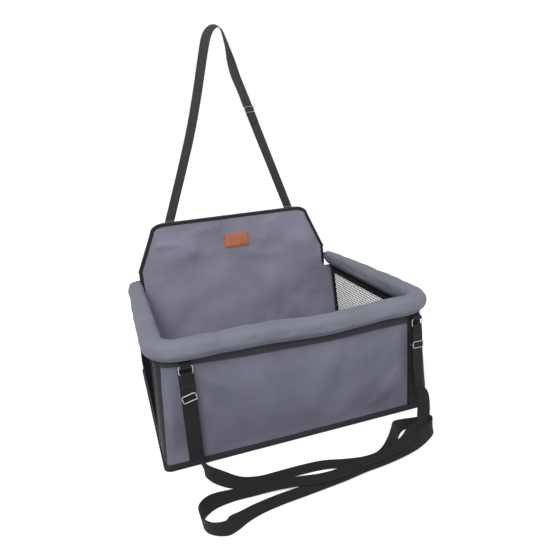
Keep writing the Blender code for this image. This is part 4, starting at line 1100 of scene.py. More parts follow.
def make_net_tree():
    """Flat net of six-sided holes over a rectangle."""
    inputs = {"Geometry": "Geometry", "Width": 0.3, "Height": 0.1, "Pitch": 0.0034}
    inputs.update({"Strand": 0.0008, "Finish": "Material"})
    wiring, start, end = new_group("knitted_net", "Geometry", inputs, {"Net": "Geometry"})
    pitch = start["Pitch"]
    row_step = wiring.math("MULTIPLY", pitch, math.sqrt(3) / 2)
    across = wiring.math("FLOOR", wiring.math("DIVIDE", start["Width"], pitch))
    up = wiring.math("FLOOR", wiring.math("DIVIDE", start["Height"], row_step))
    size_y = wiring.math("MULTIPLY", wiring.math("SUBTRACT", up, 1.0), row_step)
    size_x = wiring.math("MULTIPLY", wiring.math("SUBTRACT", across, 1.0), pitch)
    inputs = {"Size X": size_x, "Size Y": size_y, "Vertices X": across, "Vertices Y": up}
    spots = wiring.first("GeometryNodeMeshGrid", inputs)
    place = wiring.first("GeometryNodeInputPosition")
    axes = wiring.add("ShaderNodeSeparateXYZ", {0: place}).outputs
    from_end = wiring.math("ADD", axes[1], wiring.math("MULTIPLY", size_y, 0.5))
    row = wiring.math("ROUND", wiring.math("DIVIDE", from_end, row_step))
    half_pitch = wiring.math("MULTIPLY", pitch, 0.5)
    shift = wiring.math("MULTIPLY", wiring.math("MODULO", row, 2.0), half_pitch)
    offset = wiring.first("ShaderNodeCombineXYZ", {0: shift})
    spots = wiring.first("GeometryNodeSetPosition", {"Geometry": spots, "Offset": offset})
    inputs = {"Vertices": 6, "Radius": wiring.math("DIVIDE", pitch, math.sqrt(3))}
    hole = wiring.first("GeometryNodeMeshCircle", inputs, fill_type="NGON")
    inputs = {"Points": spots, "Instance": hole, "Rotation": (0.0, 0.0, math.radians(30))}
    cells = wiring.first("GeometryNodeInstanceOnPoints", inputs)
    cells = wiring.first("GeometryNodeRealizeInstances", {"Geometry": cells})
    inputs = {"Geometry": cells, "Distance": wiring.math("MULTIPLY", pitch, 0.05)}
    cells = wiring.first("GeometryNodeMergeByDistance", inputs)
    inputs = {"Mesh": cells, "Offset Scale": 0.0, "Individual": True}
    ringed = wiring.add("GeometryNodeExtrudeMesh", inputs, mode="FACES").outputs
    opened = wiring.math("SUBTRACT", 1.0, wiring.math("DIVIDE", start["Strand"], pitch))
    inputs = {"Geometry": ringed["Mesh"], "Selection": ringed["Top"], "Scale": opened}
    strands = wiring.first("GeometryNodeScaleElements", inputs, domain="FACE")
    inputs = {"Geometry": strands, "Selection": ringed["Top"]}
    net = wiring.first("GeometryNodeDeleteGeometry", inputs, domain="FACE")
    inputs = {"Geometry": net, "Material": start["Finish"]}
    wiring.give(end["Net"], wiring.first("GeometryNodeSetMaterial", inputs))


def changed_mesh(seed):
    """Plain mesh of an object as its modifiers leave it, in place of the object."""
    bpy.context.view_layer.update()
    evaluated = seed.evaluated_get(bpy.context.evaluated_depsgraph_get())
    mesh = bpy.data.meshes.new_from_object(evaluated)
    seed.modifiers.clear()
    bpy.data.objects.remove(seed, do_unlink=True)
    return mesh


def grown(name, seed_mesh, tree_name, values):
    """Plain mesh that a node tree grows from a mesh."""
    seed = bpy.data.objects.new(name + "_seed", seed_mesh)
    bpy.context.scene.collection.objects.link(seed)
    tree = bpy.data.node_groups[tree_name]
    change = seed.modifiers.new(tree_name, "NODES")
    change.node_group = tree
    items = tree.interface.items_tree
    sockets = {item.name: item.identifier for item in items if item.in_out == "INPUT"}
    for label, value in values.items():
        change[sockets[label]] = value
    mesh = changed_mesh(seed)
    mesh.name = name
    if not mesh.polygons:
        raise RuntimeError(f"{tree_name} made nothing for {name}")
    return mesh


def sew(name, body, lines, thread, slot, pitch=None):
    """Rows of stitches along lines of points, moving with one body."""
    points, edges = [], []
    for line in lines:
        first = len(points)
        points += [tuple(p) for p in line]
        edges += [(i, i + 1) for i in range(first, len(points) - 1)]
    seam = bpy.data.meshes.new(name + "_seam")
    seam.from_pydata(points, edges, [])
    settings = cloth_settings()
    pitch = pitch or settings.stitch_pitch
    length = min(settings.stitch_length, 0.8 * pitch)
    values = {"Pitch": pitch, "Length": length, "Thread": settings.thread}
    mesh = grown(name, seam, "stitch_row", {**values, "Finish": finish_of(thread)})
    mesh.shade_smooth()
    riding(body, name, mesh, thread, slot=slot)


def lifted(grid, toward, rows, columns, lift=0.00012, wrap=False):
    """Points of a seam on a grid of cloth, just clear of its face."""
    face = normals(grid, toward, wrap)
    return grid[rows, columns] + face[rows, columns] * lift


# Stage


class MakeStage(bpy.types.Operator):
    """Camera at the photograph's angle, soft lights and a pale floor"""

    bl_idname = "basket.make_stage"
    bl_label = "Stage"

    def execute(self, context):
        scene = context.scene
        scene.view_settings.view_transform = "Standard"
        stage = scene.basket_stage
        self.camera(scene)
        self.lamp(scene, "key", stage.key_power, 1.1, (-1.0, -1.6, 2.4))
        self.lamp(scene, "fill", stage.fill_power, 1.6, (2.0, -1.2, 1.2))
        self.world(scene, stage.ambient)
        self.floor(scene, stage.floor_colour)
        return {"FINISHED"}

    def camera(self, scene):
        camera = bpy.data.cameras.new("camera")
        camera.lens = CAMERA_LENS
        camera.sensor_width = 36.0
        camera.clip_end = 50.0
        ahead = Vector(CAMERA_AHEAD).normalized()
        level = ahead.cross(Vector((0, 0, 1))).normalized()
        above = level.cross(ahead)
        roll = math.radians(CAMERA_ROLL)
        right = level * math.cos(roll) + above * math.sin(roll)
        up = above * math.cos(roll) - level * math.sin(roll)
        eye = bpy.data.objects.new("camera", camera)
        turn = Matrix((right, up, -ahead)).transposed().to_4x4()
        eye.matrix_world = Matrix.Translation(CAMERA_PLACE) @ turn
        scene.collection.objects.link(eye)
        scene.camera = eye

    def lamp(self, scene, name, power, size, place):
        light = bpy.data.lights.new(name, "AREA")
        light.energy = power
        light.size = size
        lamp = bpy.data.objects.new(name, light)
        lamp.location = place
        aim = Vector(LAMP_TARGET) - Vector(place)
        lamp.rotation_euler = aim.to_track_quat("-Z", "Y").to_euler()
        scene.collection.objects.link(lamp)

    def world(self, scene, ambient):
        world = bpy.data.worlds.new("studio")
        world.use_nodes = True
        wiring = Wiring(world.node_tree)
        world.node_tree.nodes.clear()
        seen = self.seen(wiring)
        strength = wiring.math("ADD", ambient, wiring.math("MULTIPLY", seen, 1.0 - ambient))
        inputs = {"Color": opaque((1.0, 1.0, 1.0)), "Strength": strength}
        glow = wiring.first("ShaderNodeBackground", inputs)
        wiring.add("ShaderNodeOutputWorld", {"Surface": glow})
        scene.world = world

    def seen(self, wiring):
        """1 for what the camera, a mirror or glass sees."""
        path = wiring.add("ShaderNodeLightPath").outputs
        both = wiring.math("MAXIMUM", path["Is Camera Ray"], path["Is Glossy Ray"])
        return wiring.math("MAXIMUM", both, path["Is Transmission Ray"])

    def floor(self, scene, colour):
        ring = [i * 2 * math.pi / 96 for i in range(96)]
        points = [(12 * math.cos(a), 12 * math.sin(a), -0.0003) for a in ring]
        mesh = bpy.data.meshes.new("floor")
        mesh.from_pydata(points, [], [tuple(range(96))])
        look = Look("stage_floor", 0.9)
        inputs = {0: look.place}
        reach = look.add("ShaderNodeVectorMath", inputs, operation="LENGTH").outputs["Value"]
        distant = look.math("MULTIPLY", reach, FLOOR_GLOW_RISE)
        distant = look.math("MINIMUM", distant, FLOOR_GLOW_MORE)
        glow = look.math("ADD", FLOOR_GLOW, distant)
        look.set({
            "Base Color": opaque(colour),
            "Specular IOR Level": 0.0,
            "Emission Color": opaque((1.0, 1.0, 1.0)),
            "Emission Strength": look.math("MULTIPLY", self.seen(look), glow),
        })
        mesh.materials.append(look.material)
        floor = bpy.data.objects.new("floor", mesh)
        scene.collection.objects.link(floor)
        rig.stage(floor)


class MakeFinishes(bpy.types.Operator):
    """Shader and geometry node groups that the pieces share"""

    bl_idname = "basket.make_finishes"
    bl_label = "Weaves and stitches"

    def execute(self, context):
        make_plain_weave()
        make_ribbed_weave()
        make_cloth_fade()
        make_leather_grain()
        make_handling_marks()
        make_stitch_tree()
        make_net_tree()
        return {"FINISHED"}


# Straps


def strap_frame(side):
    """Places on one side's front hardware by out from the wall, height and across, and the
    direction across."""
    hand, inset, turn, bar_drop, _, _, _ = HARDWARE[side]
    yaw = math.radians(turn)
    right = Vector((math.cos(yaw), math.sin(yaw), 0.0))
    outward = Vector((math.sin(yaw), -math.cos(yaw), 0.0))
    face = front_point(hand * (RIM_WIDTH / 2 - inset), RIM_HEIGHT - bar_drop)

    def at(out, z, across=0.0):
        place = face + outward * out + right * across
        return Vector((place.x, place.y, z))

    return at, right


def floor_stations():
    """Centre and sideways direction of the webbing along its route on the floor."""
    route = np.array(FLOOR_ROUTE)
    ahead = unit(np.gradient(route[:, :2], axis=0))
    lean = np.radians(route[:, 2])
    side = np.column_stack(
        [-ahead[:, 1] * np.cos(lean), ahead[:, 0] * np.cos(lean), np.sin(lean)]
    )
    foot = route[:, 3] + 2 * GAP + np.abs(np.cos(lean)) * WEBBING / 2
    centre = np.column_stack([route[:, :2], foot])
    return np.hstack([centre + side * WEBBING_WIDTH / 2, side])


def front_strap_run(steps):
    """The whole front strap below the sliders, and the ends of its part on the floor."""
    left_at, left_side = strap_frame("left")
    right_at, right_side = strap_frame("right")
    low = LOOP_END - GAP
    left_x = HARDWARE["left"][1] - RIM_WIDTH / 2
    right_x = RIM_WIDTH / 2 - HARDWARE["right"][1]
    left_out, right_out = HARDWARE["left"][6] + LAYER, HARDWARE["right"][6] + LAYER
    hanging = [left_at(left_out, low), left_at(left_out, 0.040), left_at(left_out + 0.0006, 0.028)]
    hanging += [(left_x + 0.0015, hanging[0].y - 0.0050, 0.0185)]
    sides = [-left_side, -left_side, (-0.98, 0.05, 0.12), (-0.84, 0.20, 0.48)]
    left = np.hstack([np.array(hanging, float), np.array(sides, float)])
    rising = [
        (0.1690, -0.2480, 0.0130),
        (right_x - 0.0135, -0.2330, 0.0170),
        (right_x - 0.0020, -0.2170, 0.0245),
        right_at(right_out + 0.006, 0.0370, 0.006),
        right_at(right_out + 0.001, 0.0470, 0.002),
        right_at(right_out, low),
    ]
    sides = [(-0.75, 0.55, 0.36), (-0.82, 0.50, 0.28), (-0.80, 0.52, 0.28)]
    sides += [(-0.90, 0.30, 0.30), -right_side, -right_side]
    right = np.hstack([np.array(rising, float), np.array(sides, float)])
    run = smooth(np.vstack([left, floor_stations(), right]), steps)
    return run, steps * (len(left) - 2), len(run) - steps * (len(right) - 3)


def shortened(run, start, end):
    """A run of stations with a gap's width taken off its two ends."""
    part = run[start:end].copy()
    for edge, inner in ((0, 1), (-1, -2)):
        ahead = part[inner, :3] - part[edge, :3]
        part[edge, :3] += ahead / np.linalg.norm(ahead) * GAP
    return part


class MakeFrontStrap(bpy.types.Operator):
    """Long loose strap on the floor, and its two ends up to the sliders"""

    bl_idname = "basket.make_front_strap"
    bl_label = "Front strap"

    def execute(self, context):
        run, first, last = front_strap_run(8)
        floor = shortened(run, first, last)
        centres, sides, widths = floor[:, :3], floor[:, 3:6], [WEBBING_WIDTH] * len(run)
        piece = webbing_piece("basket", "floor_strap", "black_webbing", centres, sides, widths)
        tied(piece, centres, WEBBING_WIDTH, "loose")
        for side, part in (("left", run[: first + 1]), ("right", run[last - 1 :])):
            node = side + "_front_strap"
            folded = PINCH if side == "right" else WEBBING_WIDTH
            shares = ease(np.linspace(0, 1, len(part)), 0.1, 1.0)
            narrow = [mix(WEBBING_WIDTH, folded, share) for share in shares]
            mesh = webbing_mesh(node + "_webbing", part[:, :3], part[:, 3:6], narrow)
            end = place_piece(node + "_webbing", mesh, "black_webbing", node)
            x, y = part[0 if side == "left" else -1, :2]
            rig.blend(end, side + "_hanger", "basket", (x, y, LOOP_END), (x, y, 0.020))
        return {"FINISHED"}


def headrest_stations(steps):
    """Upper strap from its left end over the top and down through the slider."""
    keys = [(x, STRAP_Y, z, roll) for x, z, roll in HEADREST_ROUTE]
    for height in (HEADREST_LAP, HEADREST_SLIDER, HEADREST_TAIL):
        keys.append((right_run(height), STRAP_Y - LAYER, height, 180))
    run = smooth(keys, steps)
    ahead = np.gradient(run[:, :3], axis=0)
    centres, sides, widths = [], [], []
    for row, forward in zip(run, ahead):
        roll = math.radians(row[3])
        level = Vector(forward).cross(Vector((0, 1, 0))).normalized()
        centres.append(row[:3])
        sides.append(level * math.cos(roll) + Vector((0, 1, 0)) * math.sin(roll))
        widths.append(HEADREST_WIDTH)
    foot = np.array((-STRAP_SPACING / 2, STRAP_Y, HEADREST_FOOT))
    mitred = HEADREST_WIDTH * math.hypot(1.0, LEFT_SLOPE)
    ramp = []
    for i in range(5):
        share = i / 5
        side = Vector((-1, 0, 0)).lerp(sides[0], min(1.0, share * 2)).normalized()
        width = mix(mitred, HEADREST_WIDTH, min(1, share * 2))
        ramp.append((mix(foot, centres[0], share), side, width))
    starts = [list(column) for column in zip(*ramp)]
    return np.array(starts[0] + centres), np.array(starts[1] + sides), starts[2] + widths


class MakeHeadrestStrap(bpy.types.Operator):
    """Strap that hangs the flap from the seat's headrest, in its two lengths"""

    bl_idname = "basket.make_headrest_strap"
    bl_label = "Headrest strap"

    def execute(self, context):
        self.strap("headrest_strap", *headrest_stations(8))

        foot = Vector((STRAP_SPACING / 2, STRAP_Y, HEADREST_FOOT))
        lean = Vector((1.0, 0.0, RIGHT_SLOPE)).normalized()
        heights = [(foot.z + HEADREST_WIDTH / 2, 0.0), (0.360, 0.35), (HEADREST_LOW, 1.0)]
        heights += [(z, 1.0) for z in np.linspace(HEADREST_LOW, HEADREST_LAP, 8)[1:]]
        centres = [foot] + [
            Vector((right_run(z), STRAP_Y + LAYER * back, z)) for z, back in heights
        ]
        sides = [Vector((1, 0, 0))] + [lean] * (len(centres) - 1)
        widths = [HEADREST_WIDTH * math.hypot(1.0, RIGHT_SLOPE)] + [HEADREST_WIDTH] * len(heights)
        self.strap("headrest_strap_lower", centres, sides, widths)
        return {"FINISHED"}

    def strap(self, node, centres, sides, widths):
        piece = webbing_piece("headrest_loop", node, "grey_webbing", centres, sides, widths)
        tied(piece, np.array(centres, float), HEADREST_WIDTH, "taut")


# Rim


def corner_stations(x, y, radius, angles, turned):
    """Stations round a corner, with their direction outwards and share of its turn."""
    found = []
    for angle, share in zip(angles, turned):
        out_x, out_y = math.cos(angle), math.sin(angle)
        found.append((x + radius * out_x, y + radius * out_y, out_x, out_y, share))
    return found


def rim_path():
    """Stations of the rim's centreline with a share of each front corner's turn."""
    half = RIM_WIDTH / 2
    straight, front = half - RIM_CORNER, RIM_CORNER - RIM_FRONT
    shares = np.linspace(0, 1, 31)[:-1]
    turned = np.sin(math.pi * shares)
    stations = [(-half, y, -1, 0, 0.0) for y in np.linspace(SLEEVE_END, front, 118)[:-1]]
    angles = math.pi * (1 + shares / 2)
    stations += corner_stations(-straight, front, RIM_CORNER, angles, turned)
    stations += [(x, -RIM_FRONT, 0, -1, 0.0) for x in np.linspace(-straight, straight, 121)[:-1]]
    angles = math.pi * (1.5 + shares / 2)
    stations += corner_stations(straight, front, RIM_CORNER, angles, turned)
    stations += [(half, y, 1, 0, 0.0) for y in np.linspace(front, SLEEVE_END, 118)]
    return np.array(stations)


def padded_sleeve(name, stations, radius_at, end_radius):
    """Closed padded sleeve round the frame's tubes, with softly closed ends."""
    heights = [RIM_HEIGHT - rim_sag(x, y) for x, y in stations[:, :2]]
    centres = np.column_stack([stations[:, :2], heights])
    out = np.column_stack([stations[:, 2:4], np.zeros(len(stations))])
    along = run_length(centres)
    total = along[-1]
    turns = np.arange(56) * 2 * math.pi / 56

    def ring(i, radii):
        spread = out[i] * np.cos(turns)[:, None] + np.array((0, 0, 1)) * np.sin(turns)[:, None]
        return centres[i] + spread * np.asarray(radii)[:, None]

    rings = []
    for i in range(len(stations)):
        from_end = min(along[i], total - along[i])
        close = min(1.0, from_end / end_radius)
        swell = math.sqrt(max(0.0, 1 - (1 - close) ** 2))
        radii = [radius_at(along[i], total, a, stations[i][4]) for a in turns]
        rings.append(ring(i, [mix(max(SLEEVE_BORE + 0.003, 0.55 * r), r, swell) for r in radii]))
    inner = [ring(i, [SLEEVE_BORE] * 56) for i in range(len(stations) - 1, -1, -6)]
    if (len(stations) - 1) % 6:
        inner.append(ring(0, [SLEEVE_BORE] * 56))
    return swept_mesh(name, rings + inner, closed=True, outward=False)


class MakeRim(bpy.types.Operator):
    """Padded rim with its lumps and the gathers inside its corners"""

    bl_idname = "basket.make_rim"
    bl_label = "Padded rim"

    def execute(self, context):
        bunching = cloth_settings().rim_bunching

        def radius_at(along, total, angle, corner):
            inward = max(0.0, -math.cos(angle))
            above = math.sin(angle)
            lump = noise.noise(Vector((along / 0.055, 0.9 * math.cos(angle), 0.9 * above)))
            dent = noise.noise(Vector((along / 0.020, 1.6 * math.cos(angle), 1.6 * above + 7)))
            line = noise.noise(Vector((along / 0.045, 1.4 * math.cos(angle), 1.4 * above + 19)))
            crease = (1 - min(abs(line), 1.0)) ** 7 * ease(above, -0.35, 0.10)
            rear = 1 - ease(min(along, total - along), 0.0, 0.24)
            proud = RIM_LUMP * lump + RIM_DENT * dent - RIM_CREASE * crease
            proud -= RIM_THINNING * rear * max(0.0, math.cos(angle - math.pi / 4))
            if above > -0.25:
                box = abs(above) ** RIM_SQUARENESS + abs(math.cos(angle)) ** RIM_SQUARENESS
                box = box ** (-1 / RIM_SQUARENESS)
                proud += RIM_RADIUS * (box - 1) * ease(above, -0.25, 0.1)
            proud += 0.0012 * corner * math.cos(angle)
            gather = math.sin(along * 2 * math.pi / GATHER_PITCH + 1.3 * math.sin(angle * 2))
            gather *= 1.0 if above > -0.5 else 0.4
            proud += bunching * gather * corner**1.5 * inward**1.2
            pull = math.sin(along * 2 * math.pi / PULL_PITCH + 2.0 * above)
            proud += 0.0004 * pull * corner * (1 - inward)
            if above < -0.35:
                proud = min(proud, 0.0) - 0.0001
            return RIM_RADIUS - 0.0003 + proud

        mesh = padded_sleeve("rim_cover", rim_path(), radius_at, 0.008)
        piece = riding("basket", "rim_cover", mesh, "rim_cloth", "rim_sleeve", "rim_foam")
        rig.padded(piece, fill=0.85)
        return {"FINISHED"}


# Front


def front_place(column, z, out):
    """Place on the front cloth: under 2 round the left corner, from 2 to 3 along the front."""
    if column < 2:
        return wall_point(column, z, out)
    half, _, corner = wall_size(z, out)
    last = 2.5 + STRIP_RIGHT / (2 * (half - corner))
    return wall_point(min(mix(2.0, last, column - 2), 3.0), z, out)


def front_billow(x, z):
    """Billow of the front cloth, which is held at its seams and under the strap."""
    seams = ease(z, 0.012, 0.034) * (1 - ease(z, BAND_BOTTOM - 0.026, BAND_BOTTOM - 0.004))
    puff = FRONT_PUFF * ease(z, 0.012, 0.085)
    puff *= 1 - ease(z, BAND_BOTTOM - 0.036, BAND_BOTTOM - 0.003)
    hold = ease(x, -0.214, -0.204) * (1 - ease(x, 0.160, 0.180))
    hold *= ease(abs(x + 0.1765), 0.014, 0.034)
    folds = fold_height(x, z, FRONT_FOLDS) + 0.0004 * ripple(x, z, 0.03, 2.0)
    return hold * (seams * folds + puff)


class MakeFront(bpy.types.Operator):
    """Grey front cloth, the padding behind it and the tape under the rim"""

    bl_idname = "basket.make_front"
    bl_label = "Front"

    def execute(self, context):
        columns = through((1.5, 2, 9), (2, 3, 131))
        shares = np.linspace(0, 1, 57)
        forward = (0, -1, 0)

        def wall_grid(columns, shares, out_at, bottom_at):
            def place(column, share):
                top = wall_top(lambda z: front_place(column, z, 0.0))
                bottom = bottom_at(front_place(column, WALL_TOP, 0.0).x)
                z = mix(bottom, top, share)
                return front_place(column, z, out_at(front_place(column, z, 0.0).x, z))

            return point_grid(shares, columns, place)

        grid = wall_grid(columns, shares, front_billow, lambda x: WALL_BOTTOM)
        mesh = layer_mesh("front_cloth", grid, CLOTH, forward)
        piece = riding("basket", "front_cloth", mesh, "grey_cloth", "front_panel")
        flat = (FRONT_SHEET_WIDTH, WALL_SHEET_HEIGHT)
        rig.sheet(piece, flat, "stretched", ["base_board", "rim_cover", "left_side_cloth"])

        shares = [0.0, 0.12, 0.5, 0.88, 1.0]
        band = wall_grid(columns, shares, lambda x, z: GAP + BAND, self.band_bottom)
        mesh = layer_mesh("rim_tape", band, BAND, forward)
        riding("basket", "rim_tape", mesh, "band_cloth", "rim_seam_band")

        self.padding()

        seams = [lifted(band, forward, 1, slice(1, -1)), lifted(band, forward, 3, slice(1, -1))]
        sew("rim_tape_stitches", "basket", seams, "dark_thread", "band_cloth")
        clear = slice(5, 52)
        seams = [lifted(grid, forward, clear, column) for column in (1, -2)]
        sew("front_stitches", "basket", seams, "grey_thread", "grey_cloth")
        return {"FINISHED"}

    def band_bottom(self, x):
        """Lower edge of the tape, which narrows towards the left corner."""
        narrowed = 0.0062 * (1 - ease(x, -0.215, -0.060))
        return BAND_BOTTOM + narrowed - 0.5 * rim_sag(x, -RIM_FRONT)

    def padding(self):
        """Padding inside the front wall, crowned between its seams."""
        def place(s, share):
            z = mix(WALL_BOTTOM, wall_top(lambda height: wall_point(s, height)), share)
            edge = ease(min(s - 2.1, 2.9 - s), 0.0, 0.05) * ease(min(share, 1 - share), 0.0, 0.2)
            swell = 0.0024 + 0.0008 * ripple(s * 0.4, z, 0.05, 5.0)
            depth = WALL_FOAM + LINING + GAP + edge * swell
            return (*wall_point(s, z, -CLOTH - GAP), depth)

        found = point_grid(np.linspace(0, 1, 33), np.linspace(2.1, 2.9, 71), place)
        grid, depths = found[..., :3], found[..., 3]
        mesh = layer_mesh("front_padding", grid, depths, (0, -1, 0))
        piece = riding("basket", "front_padding", mesh, "grey_cloth", "front_foam", "front_lining")
        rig.padded(piece, fill=0.5)
        inside = grid - normals(grid, (0, -1, 0)) * depths[..., None]
        away = (0, 1, 0)
        seams = [lifted(inside, away, slice(2, -2), column) for column in (2, -3)]
        seams += [lifted(inside, away, row, slice(2, -2)) for row in (2, -3)]
        sew("padding_stitches", "basket", seams, "grey_thread", "grey_cloth")


# Sides


def corner_turns():
    """Turns round a rounded rectangle, each with the two signs of its corner."""
    for quarter, (across, up) in enumerate(((1, 1), (-1, 1), (-1, -1), (1, -1))):
        for i in range(7):
            yield math.radians(90 * quarter + 15 * i), across, up


def filled_in(stations, size, step):
    """Closed run with more stations between those further apart than a step. The first
    numbers of a station, as many as size says, are its place."""
    found = []
    for start, end in zip(stations, np.roll(stations, -1, 0)):
        count = max(1, int(np.linalg.norm(end[:size] - start[:size]) / step))
        found += [mix(start, end, k / count) for k in range(count)]
    return np.array(found)


def side_place(hand, column, z, out):
    """Place on a side cloth. Its columns run 0 to 1 behind the window, to 2 along it, to 3 in
    front of it, to 4 round the corner, and on the right to 5 along the strip on the front."""
    half, front, corner = wall_size(z, out)
    middle = back_middle(z) - BACK_HALF_DEPTH
    marks = (middle - GAP, middle - WINDOW_REAR, -WINDOW_FRONT, front + corner)
    if column <= 3:
        zone = min(int(column), 2)
        return Vector((hand * half, mix(marks[zone], marks[zone + 1], column - zone), z))
    if hand < 0:
        return wall_point(mix(1.0, 1.5 - 0.02, column - 3), z, out)
    if column <= 4:
        return wall_point(4 - (column - 3), z, out)
    x = mix(half - corner, STRIP_RIGHT + 2 * GAP, column - 4)
    return front_point(x, z, out)


class MakeSides(bpy.types.Operator):
    """Black side cloths round their bound net windows"""

    bl_idname = "basket.make_sides"
    bl_label = "Sides"

    def execute(self, context):
        for name, hand in (("left", -1), ("right", 1)):
            self.cloth(name, hand)
            self.net(name, hand)
        return {"FINISHED"}

    def cloth(self, name, hand):
        corner = [(3, 4, 9)] if hand < 0 else [(3, 4, 17), (4, 5, 5)]
        columns = through((0, 1, 5), (1, 2, 61), (2, 3, 7), *corner)
        levels = through((0, 1, 8), (1, 2, 25), (2, 3, 8))

        def soft(column, level, z, point):
            hold = ease(level, 0.0, 0.6) * (1 - ease(level, 2.5, 3.0))
            window = max(abs(column - 1.5), abs(level - 1.5))
            hold *= ease(window, 0.5, 0.9) * (1 - ease(column, 3.0, 3.6))
            return hold * 0.0010 * ripple(point.y, z, 0.035, 9.0 + hand)

        def place(column, level):
            def at(z, out=0.0):
                return side_place(hand, column, z, out)

            marks = (WALL_BOTTOM, WINDOW_BOTTOM, WINDOW_TOP, wall_top(at))
            zone = min(int(level), 2)
            z = mix(marks[zone], marks[zone + 1], level - zone)
            return at(z, soft(column, level, z, at(z)))

        grid = point_grid(levels, columns, place)
        middle_column = (columns[:-1] + columns[1:]) / 2
        middle_level = (levels[:-1] + levels[1:]) / 2
        hole = (middle_level[:, None] > 1) & (middle_level[:, None] < 2)
        hole = hole & (middle_column[None] > 1) & (middle_column[None] < 2)
        away = (hand, 0, 0)
        mesh = layer_mesh(name + "_side_cloth", grid, CLOTH, away, keep=~hole)
        node = name + "_side_frame"
        piece = riding("basket", name + "_side_cloth", mesh, "black_cloth", node)
        flat = (0.378 if hand < 0 else 0.425, WALL_SHEET_HEIGHT)
        whole = flat[0] * flat[1]
        window = (NET_WIDTH - 0.010) * (WINDOW_TOP - WINDOW_BOTTOM)
        area = max(whole - window, LEAST_AREA * whole)
        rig.sheet(piece, flat, "stretched", ["base_board", "rim_cover"], area=area)
        self.binding(name, hand)
        front_edge = len(columns) - 2
        seams = [lifted(grid, away, slice(4, -4), 1), lifted(grid, away, slice(4, -4), front_edge)]
        seams += [lifted(grid, away, len(levels) - 3, slice(1, -2))]
        sew(name + "_side_stitches", "basket", seams, "dark_thread", "black_cloth")

    def window_ring(self, hand, out, spread, corner=0.006):
        """Points round the window, spread outwards from its edge, with their sideways."""
        top, bottom = WINDOW_TOP + spread, WINDOW_BOTTOM - spread
        front = -WINDOW_FRONT - spread
        radius = corner + spread
        stations = []
        for turn, rearward, upward in corner_turns():
            y_out, up = math.cos(turn), math.sin(turn)
            z = (top - radius if upward > 0 else bottom + radius) + radius * up
            rear = back_middle(z) - BACK_HALF_DEPTH - WINDOW_REAR + spread
            edge = rear - radius if rearward > 0 else front + radius
            stations.append((0.0, edge + radius * y_out, z, 0.0, y_out, up))
        filled = filled_in(np.array(stations), 3, 0.005)
        filled[:, 0] = [hand * wall_size(z, out)[0] for z in filled[:, 2]]
        return filled[:, :3], unit(filled[:, 3:])

    def binding(self, name, hand):
        """Tape round the window, inside and outside the cloth, with its stitches."""
        meshes, seams = [], []
        net_back = -CLOTH - 2 * GAP - 0.0010
        for out, away in ((GAP + BINDING_TAPE / 2, hand), (net_back - BINDING_TAPE / 2, -hand)):
            points, sides = self.window_ring(hand, out, 0.0030)
            through = np.array((away, 0.0, 0.0))
            profile = strap_profile(0.010, BINDING_TAPE)
            rings = [
                point + profile[:, :1] * side + profile[:, 1:] * through
                for point, side in zip(points, sides)
            ]
            meshes.append(swept_mesh(name + "_tape", rings, closed=True, outward=False))
            for across in (-0.0035, 0.0035):
                line = points + sides * across + through * (BINDING_TAPE / 2 + 0.0001)
                seams.append(np.vstack([line, line[:1]]))
        mesh = joined(name + "_window_tape", meshes)
        riding("basket", name + "_window_tape", mesh, "black_cloth")
        sew(name + "_window_stitches", "basket", seams, "dark_thread", "black_cloth")

    def net(self, name, hand):
        settings = cloth_settings()
        low, high = WINDOW_BOTTOM - NET_TUCK, WINDOW_TOP + NET_TUCK
        flat = (NET_WIDTH, high - low)
        values = {"Width": flat[0], "Height": flat[1], "Finish": finish_of("net_thread")}
        values.update({"Pitch": settings.net_pitch, "Strand": settings.net_strand})
        mesh = grown(name + "_net_weave", bpy.data.meshes.new("net_seed"), "knitted_net", values)
        points = np.zeros(len(mesh.vertices) * 3)
        mesh.vertices.foreach_get("co", points)
        points = points.reshape(-1, 3)
        spread = points[:, :2] - points[:, :2].min(axis=0)
        spread /= spread.max(axis=0)
        for i, (across, up) in enumerate(spread):
            z = mix(low, high, up)
            rear = back_middle(z) - BACK_HALF_DEPTH - WINDOW_REAR + NET_TUCK
            y = mix(-WINDOW_FRONT - NET_TUCK, rear, across)
            slack = math.sin(math.pi * across) * math.sin(math.pi * up)
            out = -CLOTH - GAP - 0.0005 + slack * 0.0012 * ripple(y, z, 0.05, 3.0)
            points[i] = (hand * wall_size(z, out)[0], y, z)
        mesh.vertices.foreach_set("co", points.reshape(-1))
        thin = bpy.data.objects.new(name + "_net_flat", mesh)
        bpy.context.scene.collection.objects.link(thin)
        wall = thin.modifiers.new("strand", "SOLIDIFY")
        wall.thickness = 0.0006
        wall.offset = 0.0
        solid = turned_out(changed_mesh(thin))
        piece = riding("basket", name + "_net_weave", solid, "net_thread", name + "_net")
        area = sum(face.area for face in solid.polygons) / 2
        area = min(max(area, LEAST_AREA * flat[0] * flat[1]), flat[0] * flat[1])
        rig.sheet(piece, flat, "stretched", [name + "_side_cloth"], area=area)


# Base


